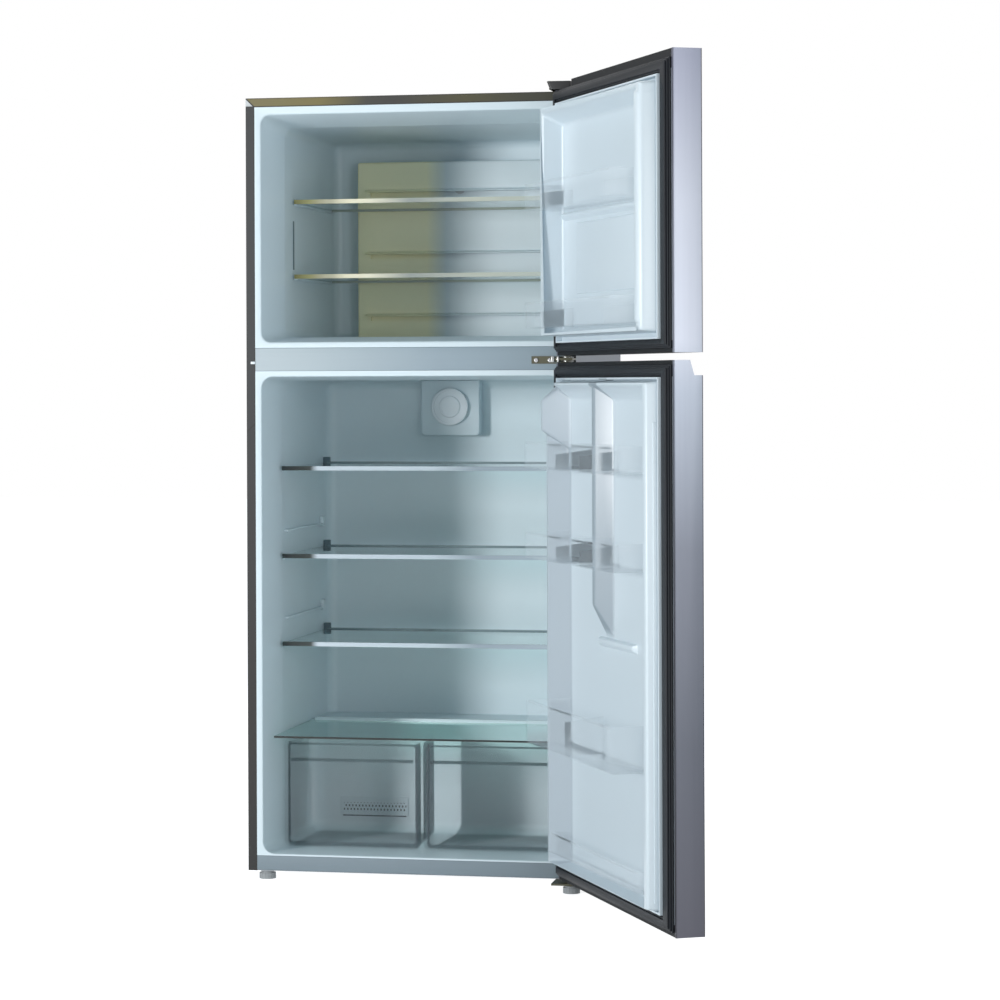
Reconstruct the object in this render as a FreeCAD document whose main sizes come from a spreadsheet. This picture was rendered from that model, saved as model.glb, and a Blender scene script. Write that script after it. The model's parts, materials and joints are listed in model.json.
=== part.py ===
import FreeCAD, Part
import Sketcher
import os
import re

# Top freezer refrigerator, drawn with both doors open.
# Millimetres. X runs to the right, Y runs back into the cabinet, Z runs up from the floor.
# The origin lies on the floor, in the middle of the width, under the cabinet's front plane.

doc = FreeCAD.newDocument("TopFreezerRefrigerator")
sheet = doc.addObject("Spreadsheet::Sheet", "Dims")

sizes = {
    # cabinet
    "cabinetWidth": 700,
    "cabinetDepth": 620,
    "cabinetBottom": 19,
    "sheetThick": 0.8,
    "flangeWidth": 19,
    "linerThick": 1.5,
    "rimInset": 32,
    "rimLip": 11.5,
    "funnelDepth": 130,
    "baseRailTall": 32,
    "mullionTall": 49,
    "fridgeOpeningTall": 999,
    "freezerOpeningTall": 477,
    "topLip": 35,
    "freezerWall": 50,
    "fridgeWall": 41,
    "ceilingDrop": 18,
    "floorRise": 12,
    "fridgeCeilingDrop": 8,
    "freezerBackWall": 45,
    "fridgeBackWall": 85,
    # machine compartment
    "humpFront": 350,
    "humpTall": 240,
    "humpWall": 44,
    "nicheWall": 1,
    # freezer fittings
    "coverWidth": 470,
    "coverRoom": 50,
    "coverTall": 400,
    "coverWall": 2.5,
    "louvreTall": 10,
    "louvrePitch": 140,
    "fanRadius": 42,
    "fanShaft": 2,
    "freezerShelfFront": 188,
    "freezerFirstShelf": 152,
    "freezerShelfPitch": 161,
    # fridge fittings
    "fridgeShelfFront": 112,
    "shelfBackGap": 46,
    "shelfSideGap": 5,
    "firstShelf": 185,
    "shelfPitch": 187,
    "glassThick": 4,
    "trimTall": 9,
    "trimDeep": 12,
    "ledgeDeep": 8,
    "ledgeTall": 5,
    "restGap": 0.3,
    "crisperTall": 242,
    "crisperCoverFront": 38,
    "drawerFront": 106,
    "drawerSideGap": 10,
    "drawerTaper": 18,
    "drawerWall": 2.5,
    "drawerMiddleGap": 6,
    "ductWide": 134,
    "ductTall": 125,
    "ductDeep": 33,
    "ductShift": 18,
    "dialRadius": 42,
    "dialThick": 9,
    "spindleRadius": 6,
    # doors, measured from the hinge axis
    "doorThick": 56.6,
    "pinToInner": 20,
    "pinToEdge": 12,
    "doorSideGap": 2,
    "doorStandOff": 13.3,
    "doorOpenAngle": 117.6,
    "doorRise": 13,
    "doorGap": 14,
    "doorBottomGap": 6,
    "capWall": 3,
    "bottomCapTall": 22,
    "freezerTopCap": 36,
    "fridgeTopCap": 30,
    "capSolidEnd": 40,
    "notchLong": 90,
    "notchDeep": 14,
    "recessDeep": 28,
    "recessFloor": 17.2,
    "recessSlant": 8.1,
    "flangeReturn": 8,
    "gasketOuter": 10,
    "gasketHinge": 2,
    "gasketClear": 0.3,
    "whiteTop": 43,
    "whiteBottom": 35,
    "fridgeWhiteTop": 31,
    "fridgeWhiteBottom": 34,
    "whiteFree": 48,
    "whiteHinge": 22,
    "dykeTall": 45,
    "fridgeDykeTall": 35,
    "dykeClear": 5,
    "dykeDraft": 5,
    "dykeWide": 22,
    "dykeSill": 14,
    "fridgeDykeWide": 50,
    "freeDykeWide": 44,
    "ribSpot": 320,
    "ribWide": 46,
    "ribTop": 14,
    "ribLong": 450,
    # door bins
    "binReach": 90,
    "binWall": 2.5,
    "binSideGap": 4,
    "binTaper": 5,
    "binTall": 53,
    "largeBinTall": 88,
    "bottomBinTall": 43,
    "upperBinDrop": 133,
    "binPitch": 181,
    "largeBinRise": 290,
    "bottomBinRise": 65,
    "freezerBinRise": 54,
    "freezerBinPitch": 237,
    # hinges and feet
    "pinRadius": 5,
    "pinClear": 0.08,
    "pinLong": 14,
    "plateThick": 4,
    "collarRadius": 9,
    "collarClear": 0.5,
    "footRadius": 17.5,
    "footTall": 12,
    "footInset": 35,
    "footBack": 25,
    "hingeFootX": 7,
    "hingeFootY": 17,
    "studRadius": 5,
    "studLong": 14,
    "hingeCoverTall": 17,
    "leafReach": 34,
    "leafThick": 3,
    "screwRadius": 4.5,
    # refrigeration
    "compressorRadius": 78,
    "compressorTall": 150,
    "tubeRadius": 3,
    "screwHead": 2.5,
}


def fill_sheet():
    for row, (alias, size) in enumerate(sizes.items(), 1):
        sheet.set("A%d" % row, alias)
        sheet.set("B%d" % row, str(size))
        sheet.setAlias("B%d" % row, alias)
    doc.recompute()


# places worked out from the sheet, each written once and used by name
places = {
    "half": "cabinetWidth / 2",
    "innerHalf": "half - sheetThick",
    "rimHalf": "half - flangeWidth",
    "openHalf": "half - rimInset",
    "railTop": "cabinetBottom + baseRailTall",
    "fridgeOpenLow": "railTop + 4",
    "fridgeOpenHigh": "fridgeOpenLow + fridgeOpeningTall",
    "mullionLow": "fridgeOpenHigh + rimLip",
    "mullionHigh": "mullionLow + mullionTall",
    "mullionMid": "mullionLow + mullionTall / 2",
    "freezerOpenLow": "mullionHigh + rimLip",
    "freezerOpenHigh": "freezerOpenLow + freezerOpeningTall",
    "cabinetTop": "freezerOpenHigh + topLip",
    "freezerHalf": "half - freezerWall",
    "fridgeHalf": "half - fridgeWall",
    "freezerFloor": "freezerOpenLow + floorRise",
    "freezerCeiling": "freezerOpenHigh - ceilingDrop",
    "freezerBack": "cabinetDepth - freezerBackWall",
    "fridgeFloor": "fridgeOpenLow",
    "fridgeCeiling": "fridgeOpenHigh - fridgeCeilingDrop",
    "fridgeBack": "cabinetDepth - fridgeBackWall",
    "humpTop": "fridgeFloor + humpTall",
    "nicheFront": "humpFront + humpWall",
    "nicheTop": "humpTop - humpWall",
    "coverFront": "freezerBack - coverRoom",
    "fanHigh": "freezerFloor + coverTall - 62",
    "hingeX": "half - pinToEdge",
    "hingeY": "0 - doorStandOff - pinToInner",
    "doorEdge": "cabinetWidth - doorSideGap - pinToEdge",
    "doorFace": "pinToInner - doorThick",
    "freezerDoorLow": "mullionMid + doorGap / 2 - 2.5",
    "freezerDoorHigh": "cabinetTop + doorRise",
    "fridgeDoorLow": "cabinetBottom + doorBottomGap",
    "fridgeDoorHigh": "freezerDoorLow - doorGap",
    "armMid": "freezerDoorLow - doorGap / 2",
    "recessLow": "fridgeDoorHigh - recessDeep",
    "gasketThick": "doorStandOff - gasketClear",
    "crisperTop": "fridgeFloor + crisperTall",
}

nodes = {}


def named(text):
    """Writes an expression in the sheet's aliases."""
    def swap(match):
        word = match.group()
        if word in places:
            return "(" + named(places[word]) + ")"
        return "Dims." + word if word in sizes else word
    return re.sub(r"[A-Za-z]\w*", swap, text)


def value(text):
    result = sheet.evalExpression(named(text))
    return float(getattr(result, "Value", result))


def bind(thing, **properties):
    for name, text in properties.items():
        thing.setExpression(name, named(text))
    return thing


def move(thing, x="0", y="0", z="0"):
    """Ties the three numbers of the placement to the sheet."""
    for axis, text in zip("xyz", (x, y, z)):
        thing.setExpression("Placement.Base." + axis, named(text))
    return thing


def box(label, x, y, z):
    """A block between two bounds on each axis."""
    block = doc.addObject("Part::Box", "block")
    block.Label = label
    bind(block, Length="%s - (%s)" % (x[1], x[0]), Width="%s - (%s)" % (y[1], y[0]))
    bind(block, Height="%s - (%s)" % (z[1], z[0]))
    return move(block, x[0], y[0], z[0])


def rod(label, radius, start, length, axis="z"):
    """A cylinder that starts at a point and runs along one axis."""
    cylinder = doc.addObject("Part::Cylinder", "rod")
    cylinder.Label = label
    turns = {
        "x": FreeCAD.Rotation(FreeCAD.Vector(0, 1, 0), 90),
        "y": FreeCAD.Rotation(FreeCAD.Vector(1, 0, 0), -90),
        "z": FreeCAD.Rotation(),
    }
    cylinder.Placement = FreeCAD.Placement(FreeCAD.Vector(), turns[axis])
    bind(cylinder, Radius=radius, Height=length)
    return move(cylinder, *start)


def frustum(label, y, x0, z0, x1, z1):
    """A block whose section changes from the bounds x0, z0 at y[0] to x1, z1 at y[1]."""
    wedge = doc.addObject("Part::Wedge", "frustum")
    wedge.Label = label
    bind(wedge, Ymin=y[0], Ymax=y[1])
    bind(wedge, Xmin=x0[0], Xmax=x0[1], Zmin=z0[0], Zmax=z0[1])
    bind(wedge, X2min=x1[0], X2max=x1[1], Z2min=z1[0], Z2max=z1[1])
    return wedge


def fuse(label, shapes):
    whole = doc.addObject("Part::MultiFuse", "fuse")
    whole.Label = label
    whole.Shapes = shapes
    whole.Refine = True
    return whole


def cut(label, base, tools):
    """Takes one or more tools out of a base."""
    result = doc.addObject("Part::Cut", "cut")
    result.Label = label
    result.Base = base
    result.Tool = tools[0] if len(tools) == 1 else fuse(label + " tools", tools)
    result.Refine = True
    return result


def group(label, shapes):
    whole = doc.addObject("Part::Compound", "group")
    whole.Label = label
    whole.Links = shapes
    return whole


def new_body(label):
    body = doc.addObject("PartDesign::Body", "body")
    body.Label = label
    return body


def new_sketch(body, role):
    sketch = body.newObject("Sketcher::SketchObject", "sketch")
    origin = [part for part in body.Origin.OriginFeatures if part.Role == role][0]
    sketch.AttachmentSupport = [(origin, "")]
    sketch.MapMode = "FlatFace"
    return sketch


def outline(body, role, points):
    """A closed polygon with every corner tied to the sheet."""
    sketch = new_sketch(body, role)
    corners = [FreeCAD.Vector(value(u), value(v), 0) for u, v in points]
    count = len(corners)
    for index in range(count):
        sketch.addGeometry(Part.LineSegment(corners[index], corners[(index + 1) % count]), False)
    for index in range(count):
        sketch.addConstraint(Sketcher.Constraint("Coincident", index, 2, (index + 1) % count, 1))
    for index, (u, v) in enumerate(points):
        for kind, text in (("DistanceX", u), ("DistanceY", v)):
            number = sketch.addConstraint(Sketcher.Constraint(kind, -1, 1, index, 1, value(text)))
            sketch.setExpression("Constraints[%d]" % number, named(text))
    return sketch


def circles(body, role, spots):
    """Circles given as centre and radius."""
    sketch = new_sketch(body, role)
    for index, (u, v, radius) in enumerate(spots):
        centre = FreeCAD.Vector(value(u), value(v), 0)
        sketch.addGeometry(Part.Circle(centre, FreeCAD.Vector(0, 0, 1), value(radius)), False)
        rules = [("DistanceX", (-1, 1, index, 3), u), ("DistanceY", (-1, 1, index, 3), v)]
        rules.append(("Radius", (index,), radius))
        for kind, where, text in rules:
            number = sketch.addConstraint(Sketcher.Constraint(kind, *where, value(text)))
            sketch.setExpression("Constraints[%d]" % number, named(text))
    return sketch


def pad(body, sketch, length, backwards=False, both=False):
    feature = body.newObject("PartDesign::Pad", "pad")
    feature.Profile = sketch
    feature.Reversed = backwards
    feature.Midplane = both
    return bind(feature, Length=length)


def pocket(body, sketch, length, backwards=False, both=False):
    feature = body.newObject("PartDesign::Pocket", "pocket")
    feature.Profile = sketch
    feature.Reversed = backwards
    feature.Midplane = both
    return bind(feature, Length=length)


def keep(node, thing):
    """Makes a finished object one of the refrigerator's pieces."""
    thing.Label = node
    nodes[node] = thing
    return thing


def hang(node, thing):
    """Swings a door piece, drawn shut about the hinge axis, to the open position."""
    keep(node, thing)
    turn = FreeCAD.Rotation(FreeCAD.Vector(0, 0, 1), value("doorOpenAngle"))
    thing.Placement = FreeCAD.Placement(FreeCAD.Vector(), turn)
    thing.setExpression("Placement.Rotation.Angle", named("doorOpenAngle"))
    return move(thing, "hingeX", "hingeY", "0")


# ---- cabinet ----

def outer_shell():
    """One folded steel wrapper: two sides and the top, with a flange round the front."""
    body = new_body("outer_shell")

    def arch(inset):
        return [
            ("-half", "cabinetBottom"), ("-half", "cabinetTop"),
            ("half", "cabinetTop"), ("half", "cabinetBottom"),
            ("half - " + inset, "cabinetBottom"), ("half - " + inset, "cabinetTop - " + inset),
            (inset + " - half", "cabinetTop - " + inset), (inset + " - half", "cabinetBottom"),
        ]

    pad(body, outline(body, "XZ_Plane", arch("sheetThick")), "cabinetDepth", True)
    pad(body, outline(body, "XZ_Plane", arch("flangeWidth")), "sheetThick", True)
    keep("outer_shell", body)


def rear_panel():
    panel = box("rear_panel", ("-innerHalf", "innerHalf"),
                ("cabinetDepth - sheetThick", "cabinetDepth"), ("nicheTop", "cabinetTop - sheetThick"))
    keep("rear_panel", panel)


def base_pan():
    """Floor of the cabinet, with the wall and roof of the machine compartment."""
    wide = ("-innerHalf", "innerHalf")
    floor = box("pan floor", wide, ("sheetThick", "cabinetDepth - 12"),
                ("cabinetBottom", "cabinetBottom + nicheWall"))
    wall = box("pan wall", wide, ("nicheFront - nicheWall", "nicheFront"), ("cabinetBottom", "nicheTop"))
    roof = box("pan roof", wide, ("nicheFront - nicheWall", "cabinetDepth - sheetThick"),
               ("nicheTop - nicheWall", "nicheTop"))
    hole = rod("stud hole", "studRadius + pinClear", ("footInset - half", "footBack", "cabinetBottom"),
               "nicheWall")
    keep("base_pan", cut("base_pan", fuse("pan", [floor, wall, roof]), [hole]))


def channel(node, low, high, deep):
    """A folded front strip between the side flanges, open to the back."""
    body = new_body(node)
    thick = "1"
    profile = [
        ("0", low), (deep, low), (deep, low + " + " + thick), (thick, low + " + " + thick),
        (thick, high + " - " + thick), (deep, high + " - " + thick), (deep, high), ("0", high),
    ]
    pad(body, outline(body, "YZ_Plane", profile), "2 * rimHalf - 0.4", both=True)
    keep(node, body)


def front_strips():
    channel("front_base_rail", "cabinetBottom + nicheWall", "railTop", "12")
    channel("mullion_cover", "mullionLow", "mullionHigh", "10")


def freezer_room(grow):
    """The hollow of the freezer: a tapered mouth and a straight chamber."""
    mouth = frustum(
        "freezer mouth", ("0", "funnelDepth"),
        ("-openHalf - " + grow, "openHalf + " + grow),
        ("freezerOpenLow - " + grow, "freezerOpenHigh + " + grow),
        ("-freezerHalf - " + grow, "freezerHalf + " + grow),
        ("freezerFloor - " + grow, "freezerCeiling + " + grow))
    chamber = box(
        "freezer chamber", ("-freezerHalf - " + grow, "freezerHalf + " + grow),
        ("funnelDepth", "freezerBack + " + grow),
        ("freezerFloor - " + grow, "freezerCeiling + " + grow))
    return fuse("freezer room", [mouth, chamber])


def fridge_room(grow):
    """The hollow of the fridge, with the step over the machine compartment."""
    mouth = frustum(
        "fridge mouth", ("0", "funnelDepth"),
        ("-openHalf - " + grow, "openHalf + " + grow),
        ("fridgeOpenLow - " + grow, "fridgeOpenHigh + " + grow),
        ("-fridgeHalf - " + grow, "fridgeHalf + " + grow),
        ("fridgeFloor - " + grow, "fridgeCeiling + " + grow))
    chamber = box(
        "fridge chamber", ("-fridgeHalf - " + grow, "fridgeHalf + " + grow),
        ("funnelDepth", "fridgeBack + " + grow),
        ("fridgeFloor - " + grow, "fridgeCeiling + " + grow))
    step = box(
        "machine step", ("-half", "half"), ("humpFront + " + grow, "cabinetDepth"),
        ("cabinetBottom", "humpTop - " + grow))
    return cut("fridge room", fuse("fridge hollow", [mouth, chamber]), [step])


def shelf_ledges(inner, front, back, tops):
    """Narrow rests on both side walls, one pair for each shelf height."""
    rests = []
    for top in tops:
        for side in ("-", ""):
            spans = ["%s(%s)" % (side, inner), "%s(%s - ledgeDeep)" % (side, inner)]
            if not side:
                spans.reverse()
            rests.append(box("ledge", tuple(spans), (front, back), (top + " - ledgeTall", top)))
    return rests


def shelf_low(level):
    """Underside of the glass of a fridge shelf, counted down from the ceiling."""
    return "fridgeCeiling - firstShelf - shelfPitch * %d - glassThick" % (level - 1)


def freezer_shelf_low(level):
    return "freezerCeiling - freezerFirstShelf - freezerShelfPitch * %d - glassThick" % (level - 1)


def freezer_liner():
    rim = box("freezer rim", ("-rimHalf", "rimHalf"), ("0", "linerThick"),
              ("mullionHigh", "cabinetTop - flangeWidth"))
    skin = fuse("freezer skin", [rim, freezer_room("linerThick")])
    shell = cut("freezer shell", skin, [freezer_room("0")])
    tops = [freezer_shelf_low(level) + " - restGap" for level in (1, 2)]
    rests = shelf_ledges("freezerHalf", "freezerShelfFront + trimDeep + 4", "coverFront", tops)
    keep("freezer_liner", fuse("freezer_liner", [shell] + rests))


def fridge_liner():
    rim = box("fridge rim", ("-rimHalf", "rimHalf"), ("0", "linerThick"), ("railTop", "mullionLow"))
    skin = fuse("fridge skin", [rim, fridge_room("linerThick")])
    shell = cut("fridge shell", skin, [fridge_room("0")])
    tops = [shelf_low(level) + " - restGap" for level in (1, 2, 3)]
    rests = shelf_ledges("fridgeHalf", "fridgeShelfFront + trimDeep + 14",
                         "fridgeBack - shelfBackGap + 6", tops)
    rests += shelf_ledges("fridgeHalf", "crisperCoverFront + funnelDepth - 30", "humpFront",
                          ["crisperTop - glassThick"])
    keep("fridge_liner", fuse("fridge_liner", [shell] + rests))


def cabinet_foam():
    """Insulation as plain slabs, each one foamed against the shell and the liners."""
    front = "sheetThick + linerThick"
    back = "cabinetDepth - sheetThick"
    low = "cabinetBottom + nicheWall"
    top = "cabinetTop - sheetThick"
    cold = "freezerHalf + linerThick"
    cool = "fridgeHalf + linerThick"
    split = "mullionMid"
    step = "nicheFront - nicheWall"
    spans = [
        ("-innerHalf", "-(%s)" % cold, front, back, split, top),
        (cold, "innerHalf", front, back, split, top),
        ("-innerHalf", "-(%s)" % cool, front, back, "nicheTop", split),
        (cool, "innerHalf", front, back, "nicheTop", split),
        ("-innerHalf", "-(%s)" % cool, front, step, low, "nicheTop"),
        (cool, "innerHalf", front, step, low, "nicheTop"),
        ("-(%s)" % cold, cold, front, back, "freezerCeiling + linerThick", top),
        ("-(%s)" % cold, cold, "13", back, split, "freezerFloor - linerThick"),
        ("-(%s)" % cool, cool, "13", back, "fridgeCeiling + linerThick", split),
        ("-(%s)" % cool, cool, "13", step, low, "fridgeFloor - linerThick"),
        ("-(%s)" % cold, cold, "freezerBack + linerThick", back,
         "freezerFloor - linerThick", "freezerCeiling + linerThick"),
        ("-(%s)" % cool, cool, "fridgeBack + linerThick", back, "nicheTop", "fridgeCeiling + linerThick"),
        ("-(%s)" % cool, cool, "humpFront + linerThick", step,
         "fridgeFloor - linerThick", "humpTop - linerThick"),
        ("-(%s)" % cool, cool, step, "fridgeBack + linerThick", "nicheTop", "humpTop - linerThick"),
    ]
    hollows = [freezer_room("linerThick"), fridge_room("linerThick")]
    hollows += [
        rod("stud room", "studRadius + 2", ("footInset - half", "footBack", "cabinetBottom"),
            "studLong + 4"),
        box("rail room", ("-rimHalf", "rimHalf"), ("0", "13"), ("cabinetBottom", "railTop")),
        box("mullion room", ("-rimHalf", "rimHalf"), ("0", "13"), ("mullionLow", "mullionHigh")),
    ]
    slabs = []
    for x0, x1, y0, y1, z0, z1 in spans:
        slab = box("slab", (x0, x1), (y0, y1), (z0, z1))
        slabs.append(cut("foam slab", slab, hollows))
    keep("cabinet_foam", group("cabinet_foam", slabs))


# ---- freezer fittings ----

def louvre_high(level):
    return "freezerFloor + coverTall - 78 - louvrePitch * %d" % level


def evaporator_cover():
    """Moulded panel in front of the evaporator, with three air slots."""
    across = ("-coverWidth / 2", "coverWidth / 2")
    inner = ("coverWall - coverWidth / 2", "coverWidth / 2 - coverWall")
    low = "freezerFloor + restGap"
    top = "freezerFloor + coverTall"
    case = box("cover case", across, ("coverFront", "freezerBack"), (low, top))
    room = box("cover room", inner, ("coverFront + coverWall", "freezerBack"), (low, top + " - coverWall"))
    slots = [
        box("air slot", ("-coverWidth / 2 + 30", "coverWidth / 2 - 30"),
            ("coverFront", "coverFront + coverWall"),
            (louvre_high(level), louvre_high(level) + " + louvreTall"))
        for level in range(3)
    ]
    keep("evaporator_cover", cut("evaporator_cover", case, [room] + slots))


def evaporator_coil():
    """Aluminium fins on a run of tubes."""
    span = 360
    fin_count = 18
    tube_count = 4
    front = "coverFront + coverWall + 6"
    fins = []
    for index in range(fin_count):
        left = -span / 2 + index * span / (fin_count - 1)
        fins.append(box("fin", ("%g" % left, "%g" % (left + 0.6)),
                        (front, front + " + 30"), ("freezerFloor + 30", "freezerFloor + 210")))
    tubes = []
    for index in range(tube_count):
        spot = ("%g" % (-span / 2 - 12), front + " + 15", "freezerFloor + %d" % (50 + 46 * index))
        tubes.append(rod("cold tube", "tubeRadius", spot, str(span + 25), "x"))
    keep("evaporator_coil", fuse("evaporator_coil", fins + tubes))


def evaporator_fan():
    """A small motor on the back wall and the fan on its shaft."""
    centre_high = "fanHigh"
    motor = rod("motor can", "20", ("0", "coverFront + 30", centre_high), "19", "y")
    shaft = rod("motor shaft", "fanShaft", ("0", "coverFront + 9", centre_high), "22", "y")
    keep("evaporator_fan_motor", fuse("evaporator_fan_motor", [motor, shaft]))

    hub = rod("fan hub", "12", ("0", "0", "0"), "14", "y")
    blades = []
    blade_count = 5
    for index in range(blade_count):
        blade = box("blade", ("-9", "9"), ("6.2", "7.8"), ("9", "fanRadius"))
        carrier = group("blade carrier", [blade])
        turn = FreeCAD.Rotation(FreeCAD.Vector(0, 1, 0), 360 * index / blade_count)
        pitch = FreeCAD.Rotation(FreeCAD.Vector(0, 0, 1), 16)
        carrier.Placement = FreeCAD.Placement(FreeCAD.Vector(0, 7 - 7 * 0.96, 0), turn.multiply(pitch))
        blades.append(carrier)
    rotor = fuse("rotor", [hub] + blades)
    bore = rod("hub bore", "fanShaft + 0.05", ("0", "3", "0"), "11", "y")
    fan = cut("evaporator_fan", rotor, [bore])
    keep("evaporator_fan", move(fan, "0", "coverFront + 5.5", centre_high))


# ---- shelves ----

def slot_trim(label, x, y, low, open_back):
    """A strip folded over one edge of the glass."""
    lap = "trimDeep - 3"
    high = low + " + glassThick / 2 + trimTall / 2"
    under = low + " + glassThick / 2 - trimTall / 2"
    strip = box(label, x, y, (under, high))
    groove_y = (y[1] + " - (" + lap + ")", y[1]) if open_back else (y[0], y[0] + " + " + lap)
    groove = box("glass groove", x, groove_y, (low, low + " + glassThick"))
    return cut(label, strip, [groove])


def shelf(node, half_width, front, back, low):
    """Toughened glass with a bright strip along its front and back edges."""
    x = ("-(%s)" % half_width, half_width)
    glass = box(node, x, (front + " + 3", back + " - 3"), (low, low + " + glassThick"))
    keep(node, glass)
    front_strip = slot_trim("front strip", x, (front, front + " + trimDeep"), low, True)
    inner = half_width + " - ledgeDeep + shelfSideGap - 1"
    back_strip = slot_trim("back strip", ("-(%s)" % inner, inner), (back + " - trimDeep", back), low, False)
    keep(node + "_trim", group(node + "_trim", [front_strip, back_strip]))


def shelves():
    for level, node in ((1, "freezer_shelf_upper"), (2, "freezer_shelf_lower")):
        shelf(node, "freezerHalf - shelfSideGap", "freezerShelfFront", "coverFront - 4",
              freezer_shelf_low(level))
    for level, node in ((1, "fridge_shelf_upper"), (2, "fridge_shelf_middle"), (3, "fridge_shelf_lower")):
        shelf(node, "fridgeHalf - shelfSideGap", "fridgeShelfFront", "fridgeBack - shelfBackGap",
              shelf_low(level))


# ---- fridge fittings ----

def crisper_cover():
    glass = box("crisper_cover", ("shelfSideGap - fridgeHalf", "fridgeHalf - shelfSideGap"),
                ("crisperCoverFront", "humpFront - 3"), ("crisperTop - glassThick", "crisperTop"))
    keep("crisper_cover", glass)


def crisper_drawer(node, side):
    """A clear tub behind a wider front panel, drawn for the right and mirrored by its bounds."""
    near = "drawerMiddleGap / 2"
    far = "fridgeHalf - drawerSideGap"

    def across(inset_near, inset_far):
        bounds = ["%s + %s" % (near, inset_near), "%s - (%s)" % (far, inset_far)]
        if side > 0:
            return tuple(bounds)
        return tuple("-(%s)" % text for text in reversed(bounds))

    low = "fridgeFloor + restGap"
    high = "crisperTop - glassThick - 8"
    tub_back = "humpFront - 14"
    panel = box("drawer front", across("0", "0"), ("drawerFront", "drawerFront + 3"), (low, high))
    tub = frustum("tub", ("drawerFront + 3", tub_back),
                  across("5", "5"), (low + " + 1", high + " - 6"),
                  across("drawerTaper", "drawerTaper"), (low + " + 1", high + " - 12"))
    wall = "drawerWall"
    room = frustum("tub room", ("drawerFront + 3", tub_back + " - " + wall),
                   across("5 + " + wall, "5 + " + wall), (low + " + 1 + " + wall, high + " - 2"),
                   across("drawerTaper + " + wall, "drawerTaper + " + wall),
                   (low + " + 1 + " + wall, high + " + 2"))
    keep(node, cut(node, fuse("drawer body", [panel, tub]), [room]))


def air_duct():
    """Cold air outlet on the back wall, with the dial that sets its flap."""
    low = "fridgeCeiling - ductTall"
    mid_high = "fridgeCeiling - 60"
    front = "fridgeBack - ductDeep"
    case = box("duct case", ("-ductShift - ductWide / 2", "ductWide / 2 - ductShift"),
               (front, "fridgeBack"), (low, "fridgeCeiling"))
    room = box("duct room", ("coverWall - ductShift - ductWide / 2", "ductWide / 2 - ductShift - coverWall"),
               (front + " + 4", "fridgeBack"), (low + " + coverWall", "fridgeCeiling"))
    bearing = rod("dial bearing", "spindleRadius + pinClear", ("-ductShift", front, mid_high), "4", "y")
    keep("duct_housing", cut("duct_housing", case, [room, bearing]))

    face = rod("dial face", "dialRadius", ("-ductShift", front + " - 0.3 - dialThick", mid_high),
               "dialThick", "y")
    well = cut("dial well", face, [
        rod("ring well", "dialRadius - 5", ("-ductShift", front + " - 0.3 - dialThick", mid_high), "3", "y")])
    knob = rod("dial knob", "dialRadius * 0.58", ("-ductShift", front + " - 0.3 - dialThick", mid_high),
               "dialThick", "y")
    spindle = rod("dial spindle", "spindleRadius", ("-ductShift", front + " - 1", mid_high), "12", "y")
    keep("damper_dial", fuse("damper_dial", [well, knob, spindle]))


def return_grille():
    """Slotted plate where the warm air leaves, on the step behind the left drawer."""
    low = 45
    plate = box("grille plate", ("-236", "-84"), ("humpFront - 2", "humpFront"),
                ("fridgeFloor + %g" % (low - 10), "fridgeFloor + %g" % (low + 30)))
    slots = []
    row_count = 3
    slot_count = 19
    for row in range(row_count):
        for index in range(slot_count):
            left = -229 + 7.5 * index + (3.75 if row == 1 else 0)
            slots.append(box("slot", ("%g" % left, "%g" % (left + 3.2)), ("humpFront - 2", "humpFront"),
                             ("fridgeFloor + %g" % (low + 8 * row),
                              "fridgeFloor + %g" % (low + 4.5 + 8 * row))))
    keep("return_grille", cut("return_grille", plate, slots))


# ---- machine compartment ----

def compressor():
    """A welded steel can on four rubber-footed legs."""
    body = new_body("compressor")
    base = "0"
    profile = [
        ("0", base), ("compressorRadius - 14", base), ("compressorRadius", base + " + 14"),
        ("compressorRadius", base + " + compressorTall - 40"),
        ("compressorRadius - 30", base + " + compressorTall - 8"),
        ("0", base + " + compressorTall"),
    ]
    sketch = outline(body, "XZ_Plane", profile)
    can = body.newObject("PartDesign::Revolution", "can")
    can.Profile = sketch
    can.ReferenceAxis = (sketch, ["V_Axis"])
    can.Angle = 360
    doc.recompute()
    feet = []
    for x in (-1, 1):
        for y in (-1, 1):
            feet.append(("%d * compressorRadius * 0.62" % x, "%d * compressorRadius * 0.62" % y, "12"))
    pad(body, circles(body, "XY_Plane", feet), "14", True)
    keep("compressor", body)
    move(body, "half - compressorRadius - 90", "nicheFront + compressorRadius + 26",
         "cabinetBottom + nicheWall + 14")


def condenser_coil():
    """Wound tube condenser beside the compressor."""
    tubes = []
    level_count = 5
    row_count = 4
    for level in range(level_count):
        for row in range(row_count):
            spot = ("-half + 40", "nicheFront + %d" % (40 + 42 * row),
                    "cabinetBottom + %d" % (24 + 22 * level))
            tubes.append(rod("warm tube", "tubeRadius", spot, "260", "x"))
    ends = []
    for x in (46, 160, 290):
        ends.append(box("tube plate", ("-half + %d" % x, "-half + %d" % (x + 1)),
                        ("nicheFront + 30", "nicheFront + 176"),
                        ("cabinetBottom + nicheWall", "cabinetBottom + 122")))
    keep("condenser_coil", fuse("condenser_coil", tubes + ends))


def drip_tray():
    """Shallow tray under the compartment roof that catches the defrost water."""
    case = box("tray case", ("-half + 60", "-half + 300"), ("nicheFront + 30", "nicheFront + 170"),
               ("cabinetBottom + 132", "cabinetBottom + 168"))
    room = box("tray room", ("-half + 62", "-half + 298"), ("nicheFront + 32", "nicheFront + 168"),
               ("cabinetBottom + 134", "cabinetBottom + 168"))
    keep("drip_tray", cut("drip_tray", case, [room]))


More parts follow.
